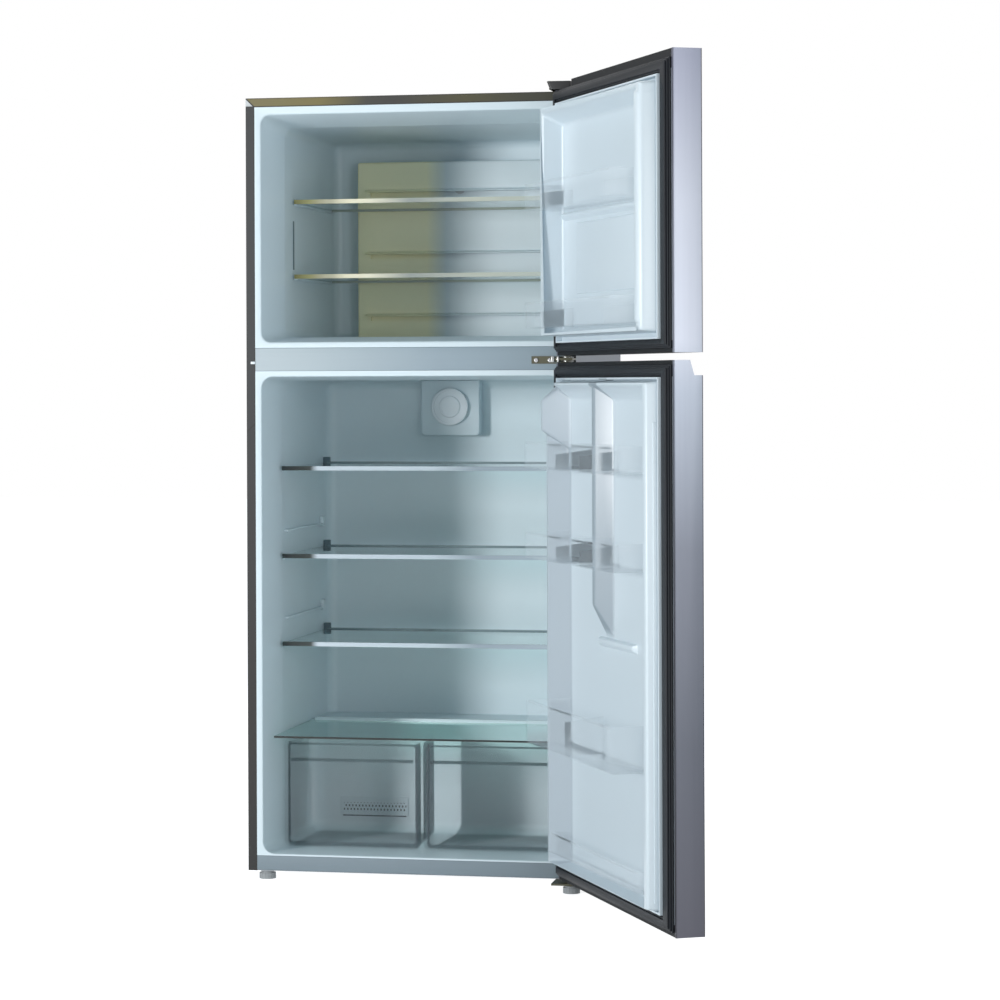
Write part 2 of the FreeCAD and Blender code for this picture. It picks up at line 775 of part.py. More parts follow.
def refrigerant_pipes():
    """Suction and discharge pipes above the can, and the filter drier."""
    spot_x = "half - compressorRadius - 90"
    spot_y = "nicheFront + compressorRadius + 26"
    can_top = "cabinetBottom + nicheWall + 14 + compressorTall"
    high = can_top + " + 22"
    riser = rod("riser", "tubeRadius", (spot_x, spot_y, can_top), "22 + tubeRadius")
    run = rod("cross run", "tubeRadius", ("-half + 330", spot_y, high), spot_x + " + half - 330", "x")
    drier = rod("filter drier", "9", ("-half + 330", spot_y, high), "90", "x")
    keep("refrigerant_pipes", fuse("refrigerant_pipes", [riser, run, drier]))


def rear_cover():
    """Pressed cover over the machine compartment, with rows of air slots."""
    body = new_body("rear_cover")
    low = "cabinetBottom + nicheWall + 2"
    high = "nicheTop - 2"
    edge = "innerHalf - 2"
    corners = [("-(%s)" % edge, low), (edge, low), (edge, high), ("-(%s)" % edge, high)]
    pad(body, outline(body, "XZ_Plane", corners), "sheetThick", True)
    doc.recompute()
    left = "30 - half"
    slot = [(left, low + " + 40"), (left + " + 6", low + " + 40"),
            (left + " + 6", low + " + 100"), (left, low + " + 100")]
    opening = pocket(body, outline(body, "XZ_Plane", slot), "sheetThick * 4", both=True)
    row = body.newObject("PartDesign::LinearPattern", "slot_row")
    row.Originals = [opening]
    row.Direction = (opening.Profile[0], ["H_Axis"])
    bind(row, Length="cabinetWidth - 66")
    row.Occurrences = 33
    body.Tip = row
    doc.recompute()
    inlet = [("half - 60", "cabinetBottom + 140", "9")]
    pocket(body, circles(body, "XZ_Plane", inlet), "sheetThick * 4", both=True)
    keep("rear_cover", body)
    move(body, "0", "cabinetDepth - sheetThick", "0")


def inlet_gland():
    """Bush in the rear cover where the mains lead would enter; it carries no lead."""
    centre = ("half - 60", "cabinetDepth", "cabinetBottom + 140")
    flange = rod("gland flange", "12", centre, "3", "y")
    neck = rod("gland neck", "8.9", (centre[0], "cabinetDepth - 6", centre[2]), "9", "y")
    bore = rod("gland bore", "5", (centre[0], "cabinetDepth - 6", centre[2]), "9", "y")
    keep("inlet_gland", cut("inlet_gland", fuse("gland body", [flange, neck]), [bore]))


def rear_supports():
    """Two moulded skids that carry the back of the cabinet."""
    skids = []
    for side in ("-", ""):
        bounds = ["%s(half - 20)" % side, "%s(half - 62)" % side]
        if not side:
            bounds.reverse()
        skids.append(box("skid", tuple(bounds), ("cabinetDepth - 90", "cabinetDepth - 40"),
                         ("0", "cabinetBottom")))
    keep("rear_supports", group("rear_supports", skids))


def levelling_foot(node, x, y, seat, stud_top):
    """A ribbed knob on a stud: seat is the surface it comes up against."""
    knob = rod("foot knob", "footRadius", (x, y, "0"), "footTall")
    collar = rod("foot collar", "footRadius - 4", (x, y, "footTall"), "%s - footTall - restGap" % seat)
    stud = rod("foot stud", "studRadius", (x, y, "footTall"), "%s - footTall" % stud_top)
    grooves = []
    groove_count = 16
    for index in range(groove_count):
        angle = 360 * index / groove_count
        carrier = group("groove carrier", [rod("grip groove", "1.2", ("0", "0", "0"), "footTall")])
        bind(carrier, **{"Placement.Base.x": "%s + (footRadius + 0.4) * cos(%g deg)" % (x, angle)})
        bind(carrier, **{"Placement.Base.y": "%s + (footRadius + 0.4) * sin(%g deg)" % (y, angle)})
        bind(carrier, **{"Placement.Base.z": "3"})
        grooves.append(carrier)
    keep(node, cut(node, fuse("foot", [knob, collar, stud]), grooves))


def front_feet():
    """The left foot screws into the cabinet's floor, the right one into the lower hinge."""
    levelling_foot("front_foot_left", "footInset - half", "footBack", "cabinetBottom",
                   "cabinetBottom + studLong")
    levelling_foot("front_foot_right", "hingeX + hingeFootX", "hingeY - hingeFootY",
                   "cabinetBottom - plateThick", "cabinetBottom + 2")


# ---- hinges ----

def top_hinge():
    """Plate on the roof with the upper pin, under a moulded cover."""
    plate = box("hinge leaf", ("hingeX - leafReach", "half - 4"), ("hingeY - 12", "64"),
                ("cabinetTop", "cabinetTop + leafThick"))
    pin = rod("upper pin", "pinRadius", ("hingeX", "hingeY", "freezerDoorHigh - notchDeep - pinLong"),
              "cabinetTop + 1 - (freezerDoorHigh - notchDeep - pinLong)")
    keep("top_hinge", fuse("top_hinge", [plate, pin]))

    low = "cabinetTop"
    case = box("cover case", ("hingeX - leafReach - 5", "half"), ("hingeY - 17", "74"),
               (low, low + " + hingeCoverTall"))
    room = box("cover room", ("hingeX - leafReach - 3", "half - 2"), ("hingeY - 15", "72"),
               (low, low + " + hingeCoverTall - 2"))
    keep("top_hinge_cover", cut("top_hinge_cover", case, [room]))


def middle_hinge():
    """Bracket on the mullion with a pin up into one door and a pin down into the other."""
    low = "armMid - plateThick / 2"
    arm = box("hinge arm", ("hingeX - leafReach", "half"), ("hingeY - 12", "0"), (low, low + " + plateThick"))
    leaf = box("hinge leaf", ("hingeX - 80", "rimHalf - 2"), ("0 - plateThick", "0"),
               ("armMid - 9", "armMid + 6.5"))
    pin = rod("double pin", "pinRadius", ("hingeX", "hingeY", "armMid - doorGap / 2 - pinLong"),
              "doorGap + 2 * pinLong")
    collar = rod("pin collar", "collarRadius", ("hingeX", "hingeY", "armMid - doorGap / 2 + collarClear"),
                 "doorGap - 2 * collarClear")
    keep("middle_hinge", fuse("middle_hinge", [arm, leaf, pin, collar]))


def lower_hinge():
    """Bracket under the cabinet with the pin that carries the lower door and a hole for the foot."""
    high = "cabinetBottom"
    arm = box("foot arm", ("hingeX - leafReach", "hingeX + hingeFootX + studRadius + 4"),
              ("hingeY - hingeFootY - studRadius - 4", "60"), (high + " - plateThick", high))
    collar = rod("lower collar", "collarRadius", ("hingeX", "hingeY", high + " - 1"),
                 "doorBottomGap - collarClear + 1")
    pin = rod("lower pin", "pinRadius", ("hingeX", "hingeY", high + " - 1"),
              "doorBottomGap + pinLong + 1")
    hole = rod("foot hole", "studRadius + pinClear",
               ("hingeX + hingeFootX", "hingeY - hingeFootY", high + " - plateThick"), "plateThick + 8")
    keep("lower_hinge", cut("lower_hinge", fuse("lower bracket", [arm, collar, pin]), [hole]))


def hinge_screws():
    """Screw heads on the middle bracket and the top plate."""
    heads = []
    for shift in (10, 39):
        heads.append(rod("screw head", "screwRadius",
                         ("hingeX - 80 + %d" % shift, "0 - plateThick - screwHead", "armMid - 1.2"),
                         "screwHead", "y"))
    for back in (22, 50):
        heads.append(rod("screw head", "screwRadius",
                         ("hingeX - leafReach / 2", str(back), "cabinetTop + leafThick"), "screwHead"))
    keep("hinge_screws", group("hinge_screws", heads))


# ---- doors, drawn shut: X runs from the hinge axis to the edge as negative numbers ----

def handle_recess():
    """The pocket along the top of the lower door that fingers pull on."""
    body = new_body("handle recess")
    profile = [
        ("doorFace - 5", "recessLow"), ("doorFace + recessFloor", "recessLow"),
        ("doorFace + recessFloor + recessSlant", "fridgeDoorHigh + 1"),
        ("doorFace - 5", "fridgeDoorHigh + 1"),
    ]
    pad(body, outline(body, "YZ_Plane", profile), "cabinetWidth * 4", both=True)
    return body


def hinge_notch():
    """Room in the upper door's top corner for the hinge plate and its cover."""
    return box("hinge notch", ("-notchLong", "pinToEdge + 1"), ("doorFace - 1", "pinToInner + 1"),
               ("freezerDoorHigh - notchDeep", "freezerDoorHigh + 1"))


def door_skin(prefix, low, high, tools):
    """Front sheet wrapped round both side edges and turned in behind them."""
    face = box("face", ("-doorEdge", "pinToEdge"), ("doorFace", "doorFace + sheetThick"), (low, high))
    pieces = [face]
    inner = ("pinToInner - sheetThick", "pinToInner")
    for edge, inside, back in (("-doorEdge", "sheetThick - doorEdge", "flangeReturn - doorEdge"),
                               ("pinToEdge - sheetThick", "pinToEdge", "pinToEdge")):
        pieces.append(box("side", (edge, inside), ("doorFace", "pinToInner"), (low, high)))
    pieces.append(box("turn in", ("-doorEdge", "flangeReturn - doorEdge"), inner, (low, high)))
    pieces.append(box("turn in", ("pinToEdge - flangeReturn", "pinToEdge"), inner, (low, high)))
    skin = fuse("skin", pieces)
    hang(prefix + "_door_skin", cut("skin", skin, tools) if tools else skin)


def door_caps(prefix, low, high, top_tall, pin_top, tools, front_room):
    """Moulded caps that close the top and bottom of the door and hold the hinge bushes."""
    x = ("sheetThick - doorEdge", "pinToEdge - sheetThick")
    y = ("doorFace + sheetThick", "pinToInner - sheetThick")
    room_x = ("sheetThick + capWall - doorEdge", "-capSolidEnd")
    room_y = ("doorFace + sheetThick + capWall", "pinToInner - sheetThick - capWall")
    bore = "pinRadius + pinClear"
    bottom = cut("bottom cap", box("cap block", x, y, (low, low + " + bottomCapTall")), [
        box("cap room", room_x, room_y, (low + " + capWall", low + " + bottomCapTall")),
        rod("pin hole", bore, ("0", "0", low), "pinLong + 2"),
    ])
    top_low = high + " - " + top_tall
    room_start = "-notchLong - 10" if tools and prefix == "freezer" else "-capSolidEnd"
    top = cut("top cap", box("cap block", x, y, (top_low, high)), [
        box("cap room", (room_x[0], room_start), (front_room, room_y[1]), (top_low, high + " - capWall")),
        rod("pin hole", bore, ("0", "0", pin_top + " - pinLong - 2"), "pinLong + 3"),
    ] + tools)
    hang(prefix + "_door_caps", group("caps", [bottom, top]))
    return room_x, room_y, room_start


def door_foam(prefix, low, high, top_tall, rooms, front_room):
    room_x, room_y, room_start = rooms
    core = box("core", ("sheetThick - doorEdge", "pinToEdge - sheetThick"),
                    ("doorFace + sheetThick", "pinToInner - linerThick - sheetThick"),
                    (low + " + bottomCapTall", high + " - " + top_tall))
    bottom = box("lower tongue", room_x, room_y, (low + " + capWall", low + " + bottomCapTall"))
    top = box("upper tongue", (room_x[0], room_start), (front_room, room_y[1]),
                   (high + " - " + top_tall, high + " - capWall"))
    hang(prefix + "_door_foam", fuse("foam", [core, bottom, top]))


def door_gasket(prefix, low, high, white):
    """Magnetic seal round the inner face."""
    y = ("pinToInner", "pinToInner + gasketThick")
    ring = box("seal", ("gasketOuter - doorEdge", "gasketHinge"), y, (low, high))
    opening = box("seal opening", ("whiteFree - doorEdge", "-whiteHinge"), y, white)
    hang(prefix + "_door_gasket", cut("gasket", ring, [opening]))


def door_liner(prefix, low, high, top_tall, tall, hinge_wide, room, extras):
    """Formed inner panel with a raised dyke that closes into the cabinet opening."""
    plate = box("plate", ("flangeReturn - doorEdge", "pinToEdge - flangeReturn"),
                     ("pinToInner - linerThick - sheetThick", "pinToInner"),
                     (low + " + bottomCapTall", high + " - " + top_tall))
    free = "hingeX + openHalf - 18"
    near = "hingeX - openHalf + dykeClear"
    z0, z1 = room[0] + " + dykeClear", room[1] + " - dykeClear"
    top_y = "pinToInner + " + tall
    dyke = frustum("dyke", ("pinToInner - 0.5", top_y),
                   ("-(%s)" % free, "-(%s)" % near), (z0, z1),
                   ("dykeDraft - (%s)" % free, "-(%s) - 1" % near),
                   (z0 + " + dykeDraft", z1 + " - dykeDraft"))
    hollow = frustum("recess", ("pinToInner", top_y + " + 0.5"),
                     ("freeDykeWide - (%s)" % free, "-(%s) - %s" % (near, hinge_wide)),
                     (z0 + " + dykeSill", z1 + " - dykeWide"),
                     ("freeDykeWide - (%s) - 10" % free, "-(%s) - 6" % near),
                     (z0 + " + 10", z1 + " - 10"))
    ring = cut("dyke ring", dyke, [hollow])
    hang(prefix + "_door_liner", fuse("liner", [plate, ring] + extras))


def door_bin(node, start, stop, low, tall, reach, tapers, draft="0"):
    """A clear tray between the dykes: start and stop are distances from the hinge axis."""
    high = "%s + %s" % (low, tall)
    back = "pinToInner + binSideGap"
    front = "pinToInner + " + reach
    wall = "binWall"

    def across(inset, near, far):
        return ("-(%s - (%s) - %s)" % (stop, far, inset), "-(%s + (%s) + %s)" % (start, near, inset))

    tray = frustum("tray", (back, front), across("0", tapers[0], tapers[1]), (low, high),
                   across("0", "0", tapers[2]), (low + " + " + draft, high))
    room = frustum("tray room", (back + " + " + wall, front + " - " + wall),
                   across(wall, tapers[0], tapers[1]), (low + " + " + wall, high + " + 1"),
                   across(wall, "0", tapers[2]), (low + " + " + draft + " + " + wall, high + " + 1"))
    hang(node, cut("bin", tray, [room]))


def freezer_door():
    low, high = "freezerDoorLow", "freezerDoorHigh"
    notch = hinge_notch()
    front_room = "doorFace + sheetThick + capWall"
    door_skin("freezer", low, high, [notch])
    rooms = door_caps("freezer", low, high, "freezerTopCap", "freezerDoorHigh - notchDeep",
                      [notch], front_room)
    door_foam("freezer", low, high, "freezerTopCap", rooms, front_room)
    door_gasket("freezer", low + " + 8", high + " - notchDeep - 2",
                (low + " + whiteBottom - 10", high + " - whiteTop"))
    door_liner("freezer", low, high, "freezerTopCap", "dykeTall", "dykeWide",
               ("freezerOpenLow", "freezerOpenHigh"), [])
    start = "hingeX - openHalf + dykeClear + dykeWide + binSideGap"
    stop = "hingeX + openHalf - 18 - freeDykeWide - binSideGap"
    base = low + " + freezerBinRise"
    for node, rise in (("freezer_bin_lower", "0"), ("freezer_bin_upper", "freezerBinPitch")):
        door_bin(node, start, stop, base + " + " + rise, "binTall", "binReach", ("0", "0", "binTaper"))


def fridge_door():
    low, high = "fridgeDoorLow", "fridgeDoorHigh"
    recess = handle_recess()
    front_room = "doorFace + recessFloor + recessSlant + capWall"
    door_skin("fridge", low, high, [recess])
    rooms = door_caps("fridge", low, high, "fridgeTopCap", high, [recess], front_room)
    door_foam("fridge", low, high, "fridgeTopCap", rooms, front_room)
    door_gasket("fridge", low + " + 8", high + " - 8",
                (low + " + fridgeWhiteBottom", high + " - fridgeWhiteTop"))
    rib = frustum("middle rib", ("pinToInner - 0.5", "pinToInner + fridgeDykeTall + 5"),
                  ("-ribSpot - ribWide / 2", "ribWide / 2 - ribSpot"),
                  ("fridgeOpenHigh - 60 - ribLong", "fridgeOpenHigh - 34"),
                  ("-ribSpot - ribTop / 2", "ribTop / 2 - ribSpot"),
                  ("fridgeOpenHigh - ribLong", "fridgeOpenHigh - 60"))
    near = "hingeX - openHalf + dykeClear"
    lug = frustum("top lug", ("pinToInner", "pinToInner + fridgeDykeTall + 13"),
                  ("-(%s) - 12" % near, "-(%s) - 1" % near), ("fridgeOpenHigh - 140", "fridgeOpenHigh - 20"),
                  ("-(%s) - 7" % near, "-(%s) - 2" % near), ("fridgeOpenHigh - 92", "fridgeOpenHigh - 50"))
    door_liner("fridge", low, high, "fridgeTopCap", "fridgeDykeTall", "fridgeDykeWide",
               ("fridgeOpenLow", "fridgeOpenHigh"), [rib, lug])
    start = near + " + fridgeDykeWide / 2"
    stop = "hingeX + openHalf - 18 - freeDykeWide - binSideGap"
    inward = "fridgeDykeWide / 2 + binSideGap"
    rib_left = "ribSpot - ribWide / 2 - binSideGap"
    rib_right = "ribSpot + ribWide / 2 + binSideGap"
    for row, word in enumerate(("upper", "middle")):
        base = "fridgeOpenHigh - upperBinDrop - binTall - binPitch * %d" % row
        door_bin("fridge_bin_%s_hinge_side" % word, start, rib_left, base, "binTall", "binReach",
                 (inward, "0", "0"))
        door_bin("fridge_bin_%s_free_side" % word, rib_right, stop, base, "binTall", "binReach",
                 ("0", "0", "0"))
    door_bin("fridge_bin_large", start + " + 6", stop, low + " + largeBinRise", "largeBinTall",
             "binReach", (inward, "0", "0"))
    door_bin("fridge_bin_bottom", start, stop + " + 2", low + " + bottomBinRise", "bottomBinTall",
             "fridgeDykeTall + 4", (inward, "2", "0"))


def check_and_write():
    """Nothing is written unless every object is sound."""
    doc.recompute()
    faults = [item.Label for item in doc.Objects if {"Invalid", "Error"} & set(item.State)]
    faults += [node for node, thing in nodes.items() if thing.Shape.isNull() or not thing.Shape.isValid()]
    if faults:
        raise SystemExit("not sound: " + ", ".join(faults))
    os.makedirs("parts", exist_ok=True)
    for node, thing in nodes.items():
        thing.Shape.exportStep("parts/%s.step" % node)
        print(node, len(thing.Shape.Solids), round(thing.Shape.Volume / 1000, 1))
    print(len(nodes), "nodes")


fill_sheet()
for make in (outer_shell, rear_panel, base_pan, front_strips, cabinet_foam, freezer_liner, fridge_liner,
             evaporator_cover, evaporator_coil, evaporator_fan, shelves, crisper_cover, air_duct,
             return_grille, compressor, condenser_coil, drip_tray, refrigerant_pipes, rear_cover,
             inlet_gland, rear_supports, front_feet, top_hinge, middle_hinge, lower_hinge, hinge_screws,
             freezer_door, fridge_door):
    make()
crisper_drawer("crisper_drawer_left", -1)
crisper_drawer("crisper_drawer_right", 1)
check_and_write()
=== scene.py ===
import bpy
import bmesh
import json
import math
from mathutils import Matrix, Vector


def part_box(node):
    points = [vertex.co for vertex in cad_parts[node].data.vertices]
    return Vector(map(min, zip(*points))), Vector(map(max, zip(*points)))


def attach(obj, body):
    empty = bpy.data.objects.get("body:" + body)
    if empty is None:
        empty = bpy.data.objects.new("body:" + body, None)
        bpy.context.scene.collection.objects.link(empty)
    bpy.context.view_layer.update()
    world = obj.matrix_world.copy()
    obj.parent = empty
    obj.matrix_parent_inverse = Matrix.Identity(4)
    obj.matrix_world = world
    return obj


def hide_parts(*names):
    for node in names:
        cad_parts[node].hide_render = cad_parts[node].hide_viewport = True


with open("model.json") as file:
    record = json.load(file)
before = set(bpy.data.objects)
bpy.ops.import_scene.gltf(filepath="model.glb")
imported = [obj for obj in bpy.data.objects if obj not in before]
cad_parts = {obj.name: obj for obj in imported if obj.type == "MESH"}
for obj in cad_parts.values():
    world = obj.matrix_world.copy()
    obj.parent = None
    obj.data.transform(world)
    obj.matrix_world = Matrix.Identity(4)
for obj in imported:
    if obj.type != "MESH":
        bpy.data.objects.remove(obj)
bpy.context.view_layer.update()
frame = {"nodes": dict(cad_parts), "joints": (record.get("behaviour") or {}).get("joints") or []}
nodes = frame["nodes"]
print("frame loaded:", len(nodes), "nodes")

# Sizes in this file are millimetres, Blender's are metres.
# X right, Y back into the cabinet, Z up. Door pieces are drawn shut about the hinge axis and swung open.
metre = 0.001
doorJoint = [joint for joint in frame["joints"] if joint["name"] == "fridge_door_hinge"][0]
swing = {"axis": Vector(doorJoint["pos_m"]), "angle": -math.radians(doorJoint["range_deg"][0])}
acrossDoor = Matrix.Rotation(swing["angle"], 3, "Z") @ Vector((0, 1, 0))  # from the door's face to its inside
acrossStart = acrossDoor.dot(Vector((swing["axis"].x, swing["axis"].y, 0))) / metre


# ---- small tools ----

def letGo():
    if bpy.context.mode != "OBJECT":
        bpy.ops.object.mode_set(mode="OBJECT")
    bpy.ops.object.select_all(action="DESELECT")


def grab(piece):
    letGo()
    piece.select_set(True)
    bpy.context.view_layer.objects.active = piece


def block(name, x, y, z):
    letGo()
    low = Vector((x[0], y[0], z[0])) * metre
    high = Vector((x[1], y[1], z[1])) * metre
    bpy.ops.mesh.primitive_cube_add(size=1, location=(low + high) / 2)
    piece = bpy.context.object
    piece.name = name
    piece.scale = high - low
    bpy.ops.object.transform_apply(location=True, rotation=True, scale=True)
    return piece


def doorBlock(name, s, n, z):
    # s is measured from the hinge axis to the door's edge, n from the axis towards the cabinet
    return block(name, (-s[1], -s[0]), n, z)


def disc(name, centre, radius, depth, axis, sides=48):
    letGo()
    turn = {"x": (0, math.pi / 2, 0), "y": (math.pi / 2, 0, 0), "z": (0, 0, 0)}[axis]
    bpy.ops.mesh.primitive_cylinder_add(vertices=sides, radius=radius * metre, depth=depth * metre,
                                        location=Vector(centre) * metre, rotation=turn)
    piece = bpy.context.object
    piece.name = name
    bpy.ops.object.transform_apply(location=True, rotation=True, scale=True)
    return piece


def pick(piece, kind, test):
    grab(piece)
    bpy.ops.object.mode_set(mode="EDIT")
    bpy.ops.mesh.select_mode(type=kind)
    bpy.ops.mesh.select_all(action="DESELECT")
    mesh = bmesh.from_edit_mesh(piece.data)
    parts = {"VERT": mesh.verts, "EDGE": mesh.edges, "FACE": mesh.faces}[kind]
    for part in parts:
        if test(part):
            part.select_set(True)
    mesh.select_flush_mode()
    bmesh.update_edit_mesh(piece.data)


def done():
    bpy.ops.object.mode_set(mode="OBJECT")


def shift(piece, test, x=0, y=0, z=0):
    # moves the corners that the test picks; the test gets the corner's place in millimetres
    pick(piece, "VERT", lambda v: test(*(v.co / metre)))
    bpy.ops.transform.translate(value=Vector((x, y, z)) * metre)
    done()


def slicePiece(piece, point, normal):
    grab(piece)
    bpy.ops.object.mode_set(mode="EDIT")
    bpy.ops.mesh.select_all(action="SELECT")
    bpy.ops.mesh.bisect(plane_co=Vector(point) * metre, plane_no=normal)
    done()


def roundEdges(piece, width, steps, test=None, sharp=20):
    # rounds the sharp edges; the test gets an edge's middle in millimetres and its direction
    def wanted(edge):
        if len(edge.link_faces) != 2 or edge.calc_face_angle(0) < math.radians(sharp):
            return False
        if test is None:
            return True
        run = edge.verts[1].co - edge.verts[0].co
        middle = (edge.verts[0].co + edge.verts[1].co) / 2 / metre
        return test(middle, run.normalized())
    pick(piece, "EDGE", wanted)
    bpy.ops.mesh.bevel(offset=width * metre, segments=steps, profile=0.5, affect="EDGES")
    done()


def combine(piece, tool, how):
    grab(piece)
    step = piece.modifiers.new("combine", "BOOLEAN")
    step.object = tool
    step.operation = how
    step.solver = "EXACT"
    bpy.ops.object.modifier_apply(modifier=step.name)
    bpy.data.objects.remove(tool)


def joinPieces(piece, extras):
    grab(piece)
    for extra in extras:
        extra.select_set(True)
    bpy.ops.object.join()
    return bpy.context.object


def openTop(piece, wall, top):
    # takes the lid off and gives the rest a wall inwards
    pick(piece, "FACE", lambda f: f.normal.z > 0.9 and f.calc_center_median().z / metre > top - 0.6)
    bpy.ops.mesh.delete(type="FACE")
    done()
    grab(piece)
    step = piece.modifiers.new("wall", "SOLIDIFY")
    step.thickness = wall * metre
    step.offset = -1
    step.use_even_offset = True
    bpy.ops.object.modifier_apply(modifier=step.name)


def swingOpen(piece):
    grab(piece)
    piece.matrix_world = Matrix.Translation((swing["axis"].x, swing["axis"].y, 0)) @ Matrix.Rotation(
        swing["angle"], 4, "Z")
    bpy.ops.object.transform_apply(location=True, rotation=True, scale=True)


def settle(piece, body, finish, replaced=(), smooth=32):
    grab(piece)
    piece.data.materials.clear()
    piece.data.materials.append(finish[0])
    bpy.ops.object.shade_smooth_by_angle(angle=math.radians(smooth))
    if replaced:
        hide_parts(*replaced)
    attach(piece, body)
    return piece


# ---- finishes ----

def makeGrainGroup():
    # cloudy tone, fine grain and the bump that goes with it
    group = bpy.data.node_groups.new("moulded grain", "ShaderNodeTree")
    sockets = [
        ("Vector", "NodeSocketVector"), ("Colour A", "NodeSocketColor"), ("Colour B", "NodeSocketColor"),
        ("Cloud Scale", "NodeSocketFloat"), ("Grain Scale", "NodeSocketFloat"),
        ("Rough Low", "NodeSocketFloat"), ("Rough High", "NodeSocketFloat"), ("Bump", "NodeSocketFloat"),
    ]
    for name, kind in sockets:
        group.interface.new_socket(name=name, in_out="INPUT", socket_type=kind)
    for name, kind in (("Colour", "NodeSocketColor"), ("Roughness", "NodeSocketFloat"),
                       ("Normal", "NodeSocketVector")):
        group.interface.new_socket(name=name, in_out="OUTPUT", socket_type=kind)
    make = group.nodes.new
    link = group.links.new
    given = make("NodeGroupInput")
    result = make("NodeGroupOutput")
    cloud = make("ShaderNodeTexNoise")
    grain = make("ShaderNodeTexNoise")
    cloud.inputs["Detail"].default_value = 3
    grain.inputs["Detail"].default_value = 4
    link(given.outputs["Vector"], cloud.inputs["Vector"])
    link(given.outputs["Vector"], grain.inputs["Vector"])
    link(given.outputs["Cloud Scale"], cloud.inputs["Scale"])
    link(given.outputs["Grain Scale"], grain.inputs["Scale"])
    blend = make("ShaderNodeMix")
    blend.data_type = "RGBA"
    link(cloud.outputs["Fac"], blend.inputs["Factor"])
    link(given.outputs["Colour A"], blend.inputs[6])
    link(given.outputs["Colour B"], blend.inputs[7])
    rough = make("ShaderNodeMapRange")
    link(grain.outputs["Fac"], rough.inputs["Value"])
    link(given.outputs["Rough Low"], rough.inputs["To Min"])
    link(given.outputs["Rough High"], rough.inputs["To Max"])
    bump = make("ShaderNodeBump")
    bump.inputs["Distance"].default_value = 0.0006
    link(given.outputs["Bump"], bump.inputs["Strength"])
    link(grain.outputs["Fac"], bump.inputs["Height"])
    link(blend.outputs[2], result.inputs["Colour"])
    link(rough.outputs["Result"], result.inputs["Roughness"])
    link(bump.outputs["Normal"], result.inputs["Normal"])
    return group


grainGroup = makeGrainGroup()


def shade(value):
    # a colour written as 0 to 255 is turned into the linear one that the shader takes
    linear = [((c / 255 + 0.055) / 1.055) ** 2.4 if c > 10 else c / 255 / 12.92 for c in value]
    return (*linear, 1)


def newFinish(name, look):
    # look holds: tone, tone2, rough (low, high), metal, cloud, grain, stretch, bump, coat
    material = bpy.data.materials.new(name)
    material.use_nodes = True
    tree = material.node_tree
    shader = tree.nodes["Principled BSDF"]
    place = tree.nodes.new("ShaderNodeTexCoord")
    mapping = tree.nodes.new("ShaderNodeMapping")
    mapping.inputs["Scale"].default_value = look.get("stretch", (1, 1, 1))
    grain = tree.nodes.new("ShaderNodeGroup")
    grain.node_tree = grainGroup
    tree.links.new(place.outputs["Object"], mapping.inputs["Vector"])
    tree.links.new(mapping.outputs["Vector"], grain.inputs["Vector"])
    grain.inputs["Colour A"].default_value = shade(look["tone"])
    grain.inputs["Colour B"].default_value = shade(look.get("tone2", look["tone"]))
    grain.inputs["Cloud Scale"].default_value = look.get("cloud", 3)
    grain.inputs["Grain Scale"].default_value = look.get("grain", 400)
    low, high = look.get("rough", (0.35, 0.45))
    grain.inputs["Rough Low"].default_value = low
    grain.inputs["Rough High"].default_value = high
    grain.inputs["Bump"].default_value = look.get("bump", 0.05)
    tree.links.new(grain.outputs["Colour"], shader.inputs["Base Color"])
    tree.links.new(grain.outputs["Roughness"], shader.inputs["Roughness"])
    tree.links.new(grain.outputs["Normal"], shader.inputs["Normal"])
    shader.inputs["Metallic"].default_value = look.get("metal", 0)
    shader.inputs["IOR"].default_value = look.get("ior", 1.47)
    shader.inputs["Specular IOR Level"].default_value = look.get("shine", 0.5)
    shader.inputs["Coat Weight"].default_value = look.get("coat", 0)
    return material


def newClear(name, look):
    # see-through plastic or glass that lets the light of the lamps through
    material = newFinish(name, look)
    tree = material.node_tree
    shader = tree.nodes["Principled BSDF"]
    shader.inputs["Transmission Weight"].default_value = look.get("through", 1)
    passing = tree.nodes.new("ShaderNodeBsdfTransparent")
    passing.inputs["Color"].default_value = shade(look["passing"])
    ray = tree.nodes.new("ShaderNodeLightPath")
    mix = tree.nodes.new("ShaderNodeMixShader")
    ends = tree.nodes["Material Output"]
    tree.links.new(ray.outputs["Is Shadow Ray"], mix.inputs["Fac"])
    tree.links.new(shader.outputs["BSDF"], mix.inputs[1])
    tree.links.new(passing.outputs["BSDF"], mix.inputs[2])
    tree.links.new(mix.outputs["Shader"], ends.inputs["Surface"])
    return material


def ruler(tree, direction, low, high):
    # 0 to 1 between two distances along a direction of the piece
    place = tree.nodes.new("ShaderNodeTexCoord")
    along = tree.nodes.new("ShaderNodeVectorMath")
    along.operation = "DOT_PRODUCT"
    along.inputs[1].default_value = direction
    span = tree.nodes.new("ShaderNodeMapRange")
    span.inputs["From Min"].default_value = low * metre
    span.inputs["From Max"].default_value = high * metre
    tree.links.new(place.outputs["Object"], along.inputs[0])
    tree.links.new(along.outputs["Value"], span.inputs["Value"])
    return span.outputs["Result"]


